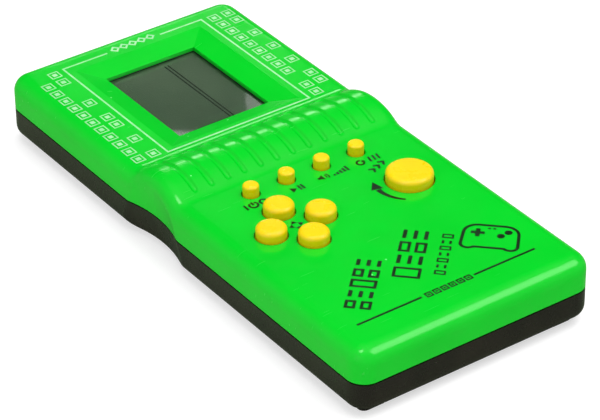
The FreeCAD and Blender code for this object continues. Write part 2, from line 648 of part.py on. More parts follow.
def electrolytic_capacitor():
    start = V(CAN_X, CAPACITOR_Y, BOARD_TOP_Z + CAN_RADIUS + STACK_CLEARANCE)
    return soft_ends(Part.makeCylinder(CAN_RADIUS, CAN_LENGTH, start, V(0, 1, 0)), 0.4)


def ceramic_capacitors():
    discs = []
    for x in CERAMIC_XS:
        start = V(x, CAPACITOR_Y, BOARD_TOP_Z + CERAMIC_RADIUS + STACK_CLEARANCE)
        discs.append(Part.makeCylinder(CERAMIC_RADIUS, CERAMIC_THICK, start, V(1, 0, 0)))
    return Part.Compound(discs)


def resistors():
    bodies = []
    for i in range(RESISTOR_COUNT):
        start = V(RESISTOR_X, RESISTOR_Y + RESISTOR_PITCH * i, BOARD_TOP_Z + RESISTOR_RADIUS + RESISTOR_LIFT)
        body = Part.makeCylinder(RESISTOR_RADIUS, RESISTOR_LENGTH, start, V(1, 0, 0))
        bodies.append(soft_ends(body, 0.35 * RESISTOR_RADIUS))
    return Part.Compound(bodies)


# ---- screws ----
def pan_screw(x, y, z_seat, head_radius, head_thick, radius, length):
    """Screw driven upwards: the head lies below its seat."""
    head = rod(x, y, z_seat - head_thick, z_seat, head_radius)
    rim = [e for e in head.Edges if all(abs(v.Z - z_seat + head_thick) < 1e-4 for v in e.Vertexes)]
    head = head.makeFillet(SCREW_HEAD_ROUND * head_thick, rim)
    shank = rod(x, y, z_seat - head_thick / 2, z_seat + length, radius)
    z0 = z_seat - head_thick - 1
    z1 = z_seat - (1 - SCREW_CROSS_DEPTH) * head_thick
    arm = SCREW_CROSS_REACH * head_radius
    half = SCREW_CROSS_HALF * head_radius
    cross = [box(x - a, x + a, y - b, y + b, z0, z1) for a, b in ((arm, half), (half, arm))]
    return cut_all(head.fuse(shank), cross).removeSplitter()


def board_screws():
    z_seat = BOARD_BOTTOM_Z
    return Part.Compound([
        pan_screw(x, y, z_seat, BOARD_SCREW_HEAD_RADIUS, BOARD_SCREW_HEAD_THICK, BOARD_SCREW_RADIUS,
                  BOARD_SCREW_LENGTH) for x, y in BOARD_SCREWS])


def case_screws():
    return Part.Compound([
        pan_screw(x, y, CASE_SCREW_SEAT_Z, CASE_SCREW_HEAD_RADIUS, CASE_SCREW_HEAD_THICK, CASE_SCREW_RADIUS,
                  CASE_SCREW_LENGTH) for x, y in CASE_SCREWS])


# ---- batteries ----
PLATE_FACE_X = BAY_HALF_LENGTH - STACK_CLEARANCE - PLATE_THICK
CELL_YS = {1: BAY_Y + CELL_RADIUS + CELL_CLEARANCE / 2, -1: BAY_Y - CELL_RADIUS - CELL_CLEARANCE / 2}


def battery_cell(way):
    """The upper cell (way 1) points to +X and the lower cell (way -1) points to -X."""
    y = CELL_YS[way]
    tip = PLATE_FACE_X - STACK_CLEARANCE
    can_end = tip - CELL_NUB_LENGTH
    can_start = tip - CELL_LENGTH
    can = Part.makeCylinder(CELL_RADIUS, can_end - can_start, V(can_start, y, CELL_Z), V(1, 0, 0))
    can = soft_ends(can, CELL_EDGE_ROUND)
    nub = Part.makeCylinder(CELL_NUB_RADIUS, CELL_NUB_LENGTH + 1, V(can_end - 1, y, CELL_Z), V(1, 0, 0))
    cell = can.fuse(nub)
    if way < 0:
        cell = cell.mirror(V(0, 0, 0), V(1, 0, 0))
    return cell


def battery_springs():
    springs = []
    gap = 2 * STACK_CLEARANCE + SPRING_WIRE_RADIUS
    span = SPRING_LENGTH - 2 * gap
    for way in (1, -1):
        helix = Part.makeHelix(span / SPRING_TURNS, span, SPRING_RADIUS)
        start = V(SPRING_RADIUS, 0, 0)
        section = Part.Wire(Part.makeCircle(SPRING_WIRE_RADIUS, start, V(0, 1, 0)))
        coil = Part.Wire(helix).makePipeShell([section], True, True)
        coil.rotate(V(0, 0, 0), V(0, 1, 0), 90)
        coil.translate(V(-PLATE_FACE_X + gap, 0, 0))
        if way < 0:
            coil = coil.mirror(V(0, 0, 0), V(1, 0, 0))
        coil.translate(V(0, CELL_YS[way], CELL_Z))
        springs.extend(coil.Solids)
    return Part.Compound(springs)


def tab_box(side, gap):
    """Solder tab of an end plate, which passes through the bay's upper wall."""
    x1 = BAY_HALF_LENGTH - STACK_CLEARANCE
    x0 = x1 - PLATE_THICK
    y0 = BAY_Y + BAY_HALF_WIDTH - 1.0
    y1 = BAY_Y + BAY_HALF_WIDTH + TAB_REACH
    lo, hi = sorted((side * x0, side * x1))
    return box(lo - gap, hi + gap, y0, y1 + gap, CELL_Z - TAB_HALF_WIDTH - gap, CELL_Z + TAB_HALF_WIDTH + gap)


def contact_plate(side):
    x1 = BAY_HALF_LENGTH - STACK_CLEARANCE
    lo, hi = sorted((side * (x1 - PLATE_THICK), side * x1))
    y = CELL_YS[1]
    plate = box(lo, hi, y - PLATE_HALF_WIDTH, BAY_Y + BAY_HALF_WIDTH - STACK_CLEARANCE,
                CELL_Z - PLATE_HALF_WIDTH, CELL_Z + PLATE_HALF_WIDTH)
    return plate.fuse(tab_box(side, 0)).removeSplitter()


def contact_plates():
    """One plate for each end of the upper cell, and one for each end of the lower cell."""
    x1 = BAY_HALF_LENGTH - STACK_CLEARANCE
    plates = [contact_plate(-1), contact_plate(1)]
    for side in (-1, 1):
        lo, hi = sorted((side * (x1 - PLATE_THICK), side * x1))
        y = CELL_YS[-1]
        plates.append(box(lo, hi, y - PLATE_HALF_WIDTH, y + PLATE_HALF_WIDTH,
                          CELL_Z - PLATE_HALF_WIDTH, CELL_Z + PLATE_HALF_WIDTH))
    return Part.Compound(plates)


# ---- buzzer ----
def buzzer_plate():
    z0 = REAR_FLOOR_Z + STACK_CLEARANCE
    return rod(0, BUZZER_Y, z0, z0 + BUZZER_PLATE_THICK, BUZZER_PLATE_RADIUS)


def buzzer_disc():
    z0 = REAR_FLOOR_Z + STACK_CLEARANCE + BUZZER_PLATE_THICK
    return rod(0, BUZZER_Y, z0, z0 + BUZZER_DISC_THICK, BUZZER_DISC_RADIUS)


# ---- leads ----
def lead(points, radius=LEAD_RADIUS):
    """Insulated wire: straight runs joined by tangent arcs, each arc as large as its shorter run allows."""
    corners = [V(*p) for p in points]
    edges = []
    here = corners[0]
    length = 0.0
    for before, corner, after in zip(corners, corners[1:], corners[2:]):
        back, ahead = before - corner, after - corner
        turn = 180 - degrees(back.getAngle(ahead))
        reach = 0.45 * min(back.Length, ahead.Length)
        bend = reach / tan(radians(turn / 2))
        start = corner + back.normalize() * reach
        end = corner + ahead.normalize() * reach
        bisector = (start + end) * 0.5 - corner
        to_centre = hypot(bend, reach)
        middle = corner + bisector.normalize() * (to_centre - bend)
        edges.append(Part.makeLine(here, start))
        edges.append(Part.Arc(start, middle, end).toShape())
        here = end
    edges.append(Part.makeLine(here, corners[-1]))
    path = Part.Wire(edges)
    along = edges[0].tangentAt(edges[0].FirstParameter)
    section = Part.Wire(Part.makeCircle(radius, corners[0], along))
    return path.makePipeShell([section], True, False)


def battery_lead(side):
    """From the solder tab beside the bay up to the underside of the circuit board."""
    x = side * (BAY_HALF_LENGTH - STACK_CLEARANCE - PLATE_THICK - LEAD_RADIUS - STACK_CLEARANCE)
    y = BAY_Y + BAY_HALF_WIDTH + TAB_REACH
    end = x - side * 6.0
    return lead([(x, y - 1.0, CELL_Z), (x, y + 4.0, CELL_Z - 1.0), (x - side * 3.0, y + 7.5, CELL_Z - 2.0),
                 (end, y + 10.0, CELL_Z - 1.5), (end, y + 10.0, BOARD_BOTTOM_Z - STACK_CLEARANCE)])


def buzzer_leads():
    """Two short leads from the buzzer up to the underside of the circuit board."""
    disc_top = REAR_FLOOR_Z + 2 * STACK_CLEARANCE + BUZZER_PLATE_THICK + BUZZER_DISC_THICK
    plate_top = disc_top - BUZZER_DISC_THICK
    wires = []
    for x, low in ((4.0, disc_top), (11.0, plate_top)):
        wires.append(lead([(x, BUZZER_Y, low), (x, BUZZER_Y, low + 3.0), (x + 1.0, BUZZER_Y + 3.5, low + 3.5),
                           (x + 1.5, BUZZER_Y + 6.5, low + 3.5),
                           (x + 1.5, BUZZER_Y + 6.5, BOARD_BOTTOM_Z - STACK_CLEARANCE)]))
    return Part.Compound(wires)


def build():
    polariser_top, panel_top, reflector_top = lcd_levels()
    trim = 2 * ZEBRA_WIDTH
    nodes = {
        "front_cover": front_cover(),
        "rear_cover": rear_cover(),
        "battery_door": battery_door(),
        "display_lens": display_lens(),
        "lcd_polariser": lcd_box(trim, polariser_top, FILM_THICK),
        "lcd_panel": lcd_box(0, panel_top, LCD_THICK),
        "lcd_reflector": lcd_box(trim, reflector_top, FILM_THICK),
        "lcd_holder": lcd_holder(),
        "zebra_strips": zebra_strips(),
        "circuit_board": circuit_board(),
        "key_contacts": key_contacts(),
        "chip_blob": chip_blob(),
        "electrolytic_capacitor": electrolytic_capacitor(),
        "ceramic_capacitors": ceramic_capacitors(),
        "resistors": resistors(),
        "function_key_sheet": function_sheet(),
        "direction_key_sheet": direction_sheet(),
        "rotate_key_sheet": rotate_sheet(),
        "buzzer_plate": buzzer_plate(),
        "buzzer_disc": buzzer_disc(),
        "buzzer_leads": buzzer_leads(),
        "battery_cell_upper": battery_cell(1),
        "battery_cell_lower": battery_cell(-1),
        "battery_springs": battery_springs(),
        "battery_contact_plates": contact_plates(),
        "battery_lead_red": battery_lead(1),
        "battery_lead_black": battery_lead(-1),
        "board_screws": board_screws(),
        "case_screws": case_screws(),
    }
    for name, (x, y, radius) in KEYS.items():
        nodes[name + "_cap"] = key_cap(x, y, radius)
        nodes[name + "_dome"] = key_dome(x, y)
        nodes[name + "_pill"] = carbon_pill(x, y)
    os.makedirs("parts", exist_ok=True)
    for name, shape in nodes.items():
        print(name, "solids", len(shape.Solids), "volume", round(shape.Volume, 2), "valid", shape.isValid())
        shape.exportStep("parts/" + name + ".step")


build()
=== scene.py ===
import math
import bpy
import bmesh
from mathutils import Matrix, Vector


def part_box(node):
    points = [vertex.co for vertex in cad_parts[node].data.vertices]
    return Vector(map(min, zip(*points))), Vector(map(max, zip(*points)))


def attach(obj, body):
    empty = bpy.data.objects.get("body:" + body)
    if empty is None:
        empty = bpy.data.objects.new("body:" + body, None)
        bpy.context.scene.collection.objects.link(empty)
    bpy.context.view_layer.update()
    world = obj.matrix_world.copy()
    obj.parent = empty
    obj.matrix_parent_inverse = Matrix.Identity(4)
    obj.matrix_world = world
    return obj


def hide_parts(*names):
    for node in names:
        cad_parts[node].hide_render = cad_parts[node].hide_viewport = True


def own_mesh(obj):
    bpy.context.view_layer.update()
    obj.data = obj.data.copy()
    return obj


# Handheld LCD game on its back: +X is the user's right, +Y the display end, +Z out of the face.
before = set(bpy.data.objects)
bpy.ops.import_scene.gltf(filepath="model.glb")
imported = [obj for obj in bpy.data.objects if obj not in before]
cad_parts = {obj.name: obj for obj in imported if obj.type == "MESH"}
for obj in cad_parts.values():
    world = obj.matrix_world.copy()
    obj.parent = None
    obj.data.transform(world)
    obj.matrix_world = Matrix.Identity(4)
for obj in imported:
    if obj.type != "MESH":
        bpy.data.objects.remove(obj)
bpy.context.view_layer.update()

MM = 0.001


def middle(node):
    """Middle of a CAD node's box, in millimetres."""
    low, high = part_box(node)
    return (low + high) / (2 * MM)


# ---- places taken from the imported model, in millimetres ----
KEY_STAND = 3.4
LENS_OVERLAP = 2.1
FACE_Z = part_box("up_cap")[1].z / MM - KEY_STAND
FUNCTION_KEYS = ("power", "start_pause", "sound", "reset")
DIRECTION_KEYS = ("up", "down", "left", "right")
ALL_KEYS = FUNCTION_KEYS + DIRECTION_KEYS + ("rotate",)
ROTATE = middle("rotate_cap")
PAD_CENTRE = (middle("left_cap") + middle("right_cap")) / 2
LENS_LOW, LENS_HIGH = (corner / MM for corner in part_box("display_lens"))
LENS_TOP = LENS_HIGH.z
FILM_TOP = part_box("lcd_polariser")[1].z / MM
WINDOW = middle("display_lens")
WINDOW_HALF_X = (LENS_HIGH.x - LENS_LOW.x) / 2 - LENS_OVERLAP
WINDOW_HALF_Y = (LENS_HIGH.y - LENS_LOW.y) / 2 - LENS_OVERLAP
SHEET_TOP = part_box("direction_key_sheet")[1].z / MM
BOARD_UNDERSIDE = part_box("circuit_board")[0].z / MM
DOOR_LOW, DOOR_HIGH = (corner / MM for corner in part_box("battery_door"))

# ---- printed marks ----
INK_SINK = 0.02
INK_RISE = 0.03
INK = (FACE_Z - INK_SINK, FACE_Z + INK_RISE)
INK_MIDDLE = (INK[0] + INK[1]) / 2
LINE_X = 26.1
LINE_TOP_Y = 84.5
LINE_BOTTOM_Y = 24.8
LINE_GAP = (-9.7, 10.3)
LINE_WIDTH = 0.55
SQUARE_SIDE = 3.7
SQUARE_LINE = 0.38
SQUARE_CORE = 1.5
SQUARE_TOP_Y = 82.9
SQUARE_PITCH = 5.1
SQUARE_COLUMNS = {
    -35.5: "011111111111",
    -30.1: "110010110101",
    30.1: "111111111011",
    35.4: "110101010110",
}
DIAMOND_COUNT = 5
DIAMOND_PITCH = 3.3
DIAMOND_MIDDLE = (0.3, 85.2)
DIAMOND_REACH = (1.3, 1.35)
DIAMOND_LINE = 0.6
ICON_HEIGHT = 2.7
ICON_LINE = 0.68
# for each function key, how far its sign stands right of it, and the sign's place along the case
ICON_PLACES = {"power": (-2.8, -14.2), "start_pause": (-0.1, -14.5), "sound": (0.1, -14.2),
               "reset": (0.2, -14.3)}
TURN_ARROW_RADIUS = 11.0
TURN_ARROW_SWEEP = (227, 176)
TURN_ARROW_WIDTHS = (0.7, 1.7)
TURN_ARROW_HEAD = [(10.3, -28.4), (14.1, -29.4), (13.2, -24.9)]
CHEVRON_START = (17.6, -19.6)
CHEVRON_STEP = (2.3, 0.9)
CHEVRON_LINE = 0.75
BRICK_LANES = (
    # start, length, height, bricks in each column, gap, line
    ((-25.9, -76.7), 24.6, 7.7, (2, 3, 1, 2, 3), 1.3, 0.9),
    ((-5.8, -72.8), 24.4, 8.1, (1, 3, 2, 3), 1.3, 0.9),
    ((1.2, -75.6), 20.6, 3.4, (1, 2, 1, 2, 1, 2, 1), 1.0, 0.55),
)
PAD_PLACE = (23.6, -67.9)
PAD_LINE = 0.95
BOTTOM_LINE_Y = -80.2
BOTTOM_LINE_SPANS = ((-33.2, -10.8), (7.8, 29.8))
BOTTOM_LINE_WIDTH = 0.75
PIP_COUNT = 6
PIP_PITCH = 2.8
PIP_START = (-8.3, -80.3)
PIP_SIDE = 2.3
PIP_LINE = 0.5
PIP_CORE = 0.7

# ---- marks on and under the lens ----
BORDER_WIDTH = 1.5
BORDER_OUTSIDE = 0.15
FIELD_LINES_X = (4.0, 5.2)
FIELD_LEFT = -13.0
FIELD_TOP = 72.6
FIELD_BOTTOM = 35.6
FIELD_LINE = 0.45

# ---- silicone domes ----
DOME_FOOT_OUTER = 3.2
DOME_FOOT_INNER = 2.7
DOME_ROOF = 1.9
DOME_ROOF_THICK = 1.0
PLUNGER_RADIUS = 1.5
PLUNGER_DROP = 0.6

# ---- soldered joints and the door's arrow ----
JOINT_RADIUS = 0.9
JOINT_FLATNESS = 0.6
CONNECTOR_SPACING = 2.6
CONNECTOR_OUT = 23.0
ARROW_FROM_EDGE = 26.0
ARROW_HALF_WIDTH = 4.0
ARROW_HEAD = 6.0
ARROW_TAIL = 5.0
ARROW_TAIL_HALF_WIDTH = 1.5
ARROW_PROUD = 0.045
ARROW_ROOT = 0.1


def colour(red, green, blue):
    """A screen colour, 0 to 255 a channel, as the linear one that a shader takes."""
    linear = []
    for channel in (red, green, blue):
        part = channel / 255
        linear.append(part / 12.92 if part <= 0.04045 else ((part + 0.055) / 1.055) ** 2.4)
    return (*linear, 1.0)


# ---- node helpers ----
def add(tree, kind, **values):
    """A node whose named inputs are set to values, or joined to sockets; other names are its settings."""
    node = tree.nodes.new(kind)
    settings = values.pop("settings", {})
    for name, value in settings.items():
        setattr(node, name, value)
    for name, value in values.items():
        socket = node.inputs[int(name[1:])] if name[0] == "_" else node.inputs[name.replace("_", " ")]
        if isinstance(value, bpy.types.NodeSocket):
            tree.links.new(value, socket)
        else:
            socket.default_value = value
    return node


def math_node(tree, operation, first, second=0.0):
    return add(tree, "ShaderNodeMath", settings={"operation": operation}, _0=first, _1=second).outputs[0]


def mix_colours(tree, factor, first, second):
    return add(tree, "ShaderNodeMix", settings={"data_type": "RGBA"}, _0=factor, _6=first, _7=second).outputs[2]


def remap(tree, value, low, high, to_low, to_high):
    node = add(tree, "ShaderNodeMapRange", _0=value, _1=low, _2=high, _3=to_low, _4=to_high)
    return node.outputs[0]


def noise(tree, place, scale, detail=2.0):
    return add(tree, "ShaderNodeTexNoise", Vector=place, Scale=scale, Detail=detail).outputs[0]


def new_group(name, kind, inputs, outputs):
    tree = bpy.data.node_groups.new(name, kind)
    for socket_name, socket_type, default in inputs:
        socket = tree.interface.new_socket(name=socket_name, in_out="INPUT", socket_type=socket_type)
        if default is not None:
            socket.default_value = default
    for socket_name, socket_type in outputs:
        tree.interface.new_socket(name=socket_name, in_out="OUTPUT", socket_type=socket_type)
    start = tree.nodes.new("NodeGroupInput").outputs
    end = tree.nodes.new("NodeGroupOutput").inputs
    return tree, start, end


# ---- effects that several finishes share ----
VECTOR, FLOAT, COLOUR = "NodeSocketVector", "NodeSocketFloat", "NodeSocketColor"


def moulded_skin_group():
    """Slight mottle of a moulding's colour, its uneven gloss, and its flow ripples with fine grain."""
    inputs = [("Place", VECTOR, None), ("Colour", COLOUR, None), ("Deep Colour", COLOUR, None),
              ("Mottle Scale", FLOAT, 60.0), ("Grain Scale", FLOAT, 1500.0), ("Grain Height", FLOAT, 0.1),
              ("Ripple Height", FLOAT, 0.1), ("Gloss Low", FLOAT, 0.2), ("Gloss High", FLOAT, 0.3)]
    tree, start, end = new_group("moulded_skin", "ShaderNodeTree", inputs,
                                 [("Colour", COLOUR), ("Roughness", FLOAT), ("Normal", VECTOR)])
    mottle = noise(tree, start["Place"], start["Mottle Scale"], 3.0)
    share = remap(tree, mottle, 0.35, 0.7, 0.0, 1.0)
    tree.links.new(mix_colours(tree, share, start["Colour"], start["Deep Colour"]), end["Colour"])
    gloss = noise(tree, start["Place"], math_node(tree, "MULTIPLY", start["Mottle Scale"], 3.1), 4.0)
    rough = add(tree, "ShaderNodeMapRange", _0=gloss, _1=0.35, _2=0.65,
                _3=start["Gloss Low"], _4=start["Gloss High"]).outputs[0]
    tree.links.new(rough, end["Roughness"])
    ripple = noise(tree, start["Place"], 110.0, 1.0)
    wide = add(tree, "ShaderNodeBump", Strength=start["Ripple Height"], Distance=0.0004, Height=ripple)
    grain = noise(tree, start["Place"], start["Grain Scale"], 2.0)
    fine = add(tree, "ShaderNodeBump", Strength=start["Grain Height"], Distance=0.00005, Height=grain,
               Normal=wide.outputs[0])
    tree.links.new(fine.outputs[0], end["Normal"])
    return tree


def flecks_group():
    """Small round specks: dust on a gloss face, or pigment in a dull one."""
    inputs = [("Place", VECTOR, None), ("Scale", FLOAT, 250.0), ("Size", FLOAT, 0.1), ("Share", FLOAT, 0.1)]
    tree, start, end = new_group("flecks", "ShaderNodeTree", inputs, [("Mask", FLOAT)])
    cells = add(tree, "ShaderNodeTexVoronoi", Vector=start["Place"], Scale=start["Scale"])
    near = math_node(tree, "LESS_THAN", cells.outputs["Distance"], start["Size"])
    chance = add(tree, "ShaderNodeSeparateColor", Color=cells.outputs["Color"]).outputs[0]
    picked = math_node(tree, "LESS_THAN", chance, start["Share"])
    tree.links.new(math_node(tree, "MULTIPLY", near, picked), end["Mask"])
    return tree


def scuffs_group():
    """Hairline scratches in two directions."""
    inputs = [("Place", VECTOR, None), ("Scale", FLOAT, 60.0), ("Level", FLOAT, 0.66)]
    tree, start, end = new_group("scuffs", "ShaderNodeTree", inputs, [("Mask", FLOAT)])
    masks = []
    for turn, stretch in ((0.5, 26.0), (-0.9, 34.0)):
        along = add(tree, "ShaderNodeMapping", Vector=start["Place"], Rotation=(0.0, 0.0, turn),
                    Scale=(1.0, stretch, 6.0)).outputs[0]
        hair = noise(tree, along, start["Scale"], 1.0)
        masks.append(math_node(tree, "GREATER_THAN", hair, start["Level"]))
    tree.links.new(math_node(tree, "MAXIMUM", masks[0], masks[1]), end["Mask"])
    return tree


def bands_group():
    """Stripes square to an axis: 1 inside the given share of each pitch."""
    inputs = [("Place", VECTOR, None), ("Axis", VECTOR, (1.0, 0.0, 0.0)), ("Pitch", FLOAT, 0.001),
              ("Start", FLOAT, 0.0), ("Share", FLOAT, 0.5)]
    tree, start, end = new_group("bands", "ShaderNodeTree", inputs, [("Mask", FLOAT)])
    dot = add(tree, "ShaderNodeVectorMath", settings={"operation": "DOT_PRODUCT"}, _0=start["Place"],
              _1=start["Axis"]).outputs["Value"]
    moved = math_node(tree, "SUBTRACT", dot, start["Start"])
    turns = math_node(tree, "FRACT", math_node(tree, "DIVIDE", moved, start["Pitch"]))
    tree.links.new(math_node(tree, "LESS_THAN", turns, start["Share"]), end["Mask"])
    return tree


def brushed_group():
    """Rolled or drawn metal: long fine lines along one axis, in gloss and in relief."""
    inputs = [("Place", VECTOR, None), ("Stretch", VECTOR, (1.0, 30.0, 30.0)), ("Scale", FLOAT, 60.0),
              ("Relief", FLOAT, 0.2)]
    tree, start, end = new_group("brushed", "ShaderNodeTree", inputs,
                                 [("Lines", FLOAT), ("Roughness", FLOAT), ("Normal", VECTOR)])
    along = add(tree, "ShaderNodeVectorMath", settings={"operation": "MULTIPLY"}, _0=start["Place"],
                _1=start["Stretch"]).outputs[0]
    lines = noise(tree, along, start["Scale"], 4.0)
    tree.links.new(lines, end["Lines"])
    tree.links.new(remap(tree, lines, 0.3, 0.7, 0.22, 0.42), end["Roughness"])
    relief = add(tree, "ShaderNodeBump", Strength=start["Relief"], Distance=0.00003, Height=lines)
    tree.links.new(relief.outputs[0], end["Normal"])
    return tree


SKIN = moulded_skin_group()
FLECKS = flecks_group()
SCUFFS = scuffs_group()
BANDS = bands_group()
BRUSHED = brushed_group()


def effect(tree, group, **values):
    return add(tree, "ShaderNodeGroup", settings={"node_tree": group}, **values).outputs


def blank(name):
    """A new material with its shader and the object's own coordinates."""
    material = bpy.data.materials.new(name)
    material.use_nodes = True
    tree = material.node_tree
    shader = tree.nodes["Principled BSDF"]
    place = tree.nodes.new("ShaderNodeTexCoord").outputs["Object"]
    return material, tree, shader, place


def join(tree, shader, colour_socket, rough_socket, normal_socket):
    tree.links.new(colour_socket, shader.inputs["Base Color"])
    tree.links.new(rough_socket, shader.inputs["Roughness"])
    tree.links.new(normal_socket, shader.inputs["Normal"])


def moulded(name, main, deep, gloss, grain=0.1, ripple=0.1, mottle=60.0, grain_scale=1500.0, fleck=None,
            fleck_share=0.1, fleck_scale=260.0, scuff_level=0.70, ior=1.5):
    """Moulded plastic or rubber, with optional flecks of another colour and hairline scuffs."""
    material, tree, shader, place = blank(name)
    skin = effect(tree, SKIN, Place=place, Colour=main, Deep_Colour=deep, Mottle_Scale=mottle,
                  Grain_Scale=grain_scale, Grain_Height=grain, Ripple_Height=ripple,
                  Gloss_Low=gloss[0], Gloss_High=gloss[1])
    scuffs = effect(tree, SCUFFS, Place=place, Level=scuff_level)["Mask"]
    rough = math_node(tree, "ADD", skin["Roughness"], math_node(tree, "MULTIPLY", scuffs, 0.15))
    paint = skin["Colour"]
    if fleck:
        mask = effect(tree, FLECKS, Place=place, Scale=fleck_scale, Size=0.08, Share=fleck_share)["Mask"]
        paint = mix_colours(tree, math_node(tree, "MULTIPLY", mask, 0.6), paint, fleck)
    join(tree, shader, paint, rough, skin["Normal"])
    shader.inputs["IOR"].default_value = ior
    return material


def metal(name, main, dark, stretch, scale=60.0):
    material, tree, shader, place = blank(name)
    lines = effect(tree, BRUSHED, Place=place, Stretch=stretch, Scale=scale)
    tarnish = noise(tree, place, 300.0, 4.0)
    paint = mix_colours(tree, remap(tree, tarnish, 0.45, 0.75, 0.0, 1.0), main, dark)
    join(tree, shader, paint, lines["Roughness"], lines["Normal"])
    shader.inputs["Metallic"].default_value = 1.0
    return material


def lens_plastic():
    material, tree, shader, place = blank("lens_clear")
    skin = effect(tree, SKIN, Place=place, Colour=colour(238, 246, 240), Deep_Colour=colour(230, 240, 233),
                  Mottle_Scale=40.0, Grain_Scale=900.0, Grain_Height=0.0, Ripple_Height=0.015,
                  Gloss_Low=0.015, Gloss_High=0.03)
    join(tree, shader, skin["Colour"], skin["Roughness"], skin["Normal"])
    shader.inputs["Transmission Weight"].default_value = 1.0
    shader.inputs["IOR"].default_value = 1.49
    return material


def display_film():
    """Polariser over the liquid crystal: grey-green with a faint lattice of unlit cells."""
    material, tree, shader, place = blank("polariser_film")
    skin = effect(tree, SKIN, Place=place, Colour=colour(112, 129, 106), Deep_Colour=colour(100, 116, 95),
                  Mottle_Scale=35.0, Grain_Scale=2500.0, Grain_Height=0.15, Ripple_Height=0.05,
                  Gloss_Low=0.3, Gloss_High=0.45)
    across = effect(tree, BANDS, Place=place, Axis=(1.0, 0.0, 0.0), Pitch=0.00168, Start=0.0001, Share=0.10)
    along = effect(tree, BANDS, Place=place, Axis=(0.0, 1.0, 0.0), Pitch=0.00168, Start=0.0003, Share=0.10)
    lattice = math_node(tree, "MAXIMUM", across["Mask"], along["Mask"])
    paint = mix_colours(tree, math_node(tree, "MULTIPLY", lattice, 0.10), skin["Colour"], colour(120, 134, 110))
    join(tree, shader, paint, skin["Roughness"], skin["Normal"])
    return material


def banded(name, main, band, axis, pitch, start, share, gloss, strength=1.0):
    """A moulded or lacquered body with printed or layered bands across it."""
    material, tree, shader, place = blank(name)
    deep = tuple(0.85 * part for part in main[:3]) + (1.0,)
    skin = effect(tree, SKIN, Place=place, Colour=main, Deep_Colour=deep, Mottle_Scale=200.0,
                  Gloss_Low=gloss[0], Gloss_High=gloss[1])
    mask = effect(tree, BANDS, Place=place, Axis=axis, Pitch=pitch, Start=start, Share=share)["Mask"]
    paint = mix_colours(tree, math_node(tree, "MULTIPLY", mask, strength), skin["Colour"], band)
    join(tree, shader, paint, skin["Roughness"], skin["Normal"])
    return material


def printed_ink(name, main, thin, gloss):
    """Pad-printed ink, a little thin and uneven where the pad lifted."""
    material, tree, shader, place = blank(name)
    skin = effect(tree, SKIN, Place=place, Colour=main, Deep_Colour=thin, Mottle_Scale=420.0,
                  Grain_Scale=3000.0, Grain_Height=0.3, Ripple_Height=0.0,
                  Gloss_Low=gloss[0], Gloss_High=gloss[1])
    join(tree, shader, skin["Colour"], skin["Roughness"], skin["Normal"])
    return material


def laminate():
    """Brown paper laminate with copper lands showing pale through the mask."""
    material, tree, shader, place = blank("board_brown")
    skin = effect(tree, SKIN, Place=place, Colour=colour(128, 86, 44), Deep_Colour=colour(104, 66, 32),
                  Mottle_Scale=180.0, Grain_Scale=1200.0, Grain_Height=0.3, Gloss_Low=0.35, Gloss_High=0.5)
    tracks = effect(tree, BANDS, Place=place, Axis=(0.7, 0.7, 0.0), Pitch=0.0042, Start=0.0, Share=0.28)["Mask"]
    lands = math_node(tree, "GREATER_THAN", noise(tree, place, 90.0, 0.0), 0.5)
    copper = math_node(tree, "MULTIPLY", tracks, lands)
    paint = mix_colours(tree, math_node(tree, "MULTIPLY", copper, 0.5), skin["Colour"], colour(70, 92, 40))
    join(tree, shader, paint, skin["Roughness"], skin["Normal"])
    return material


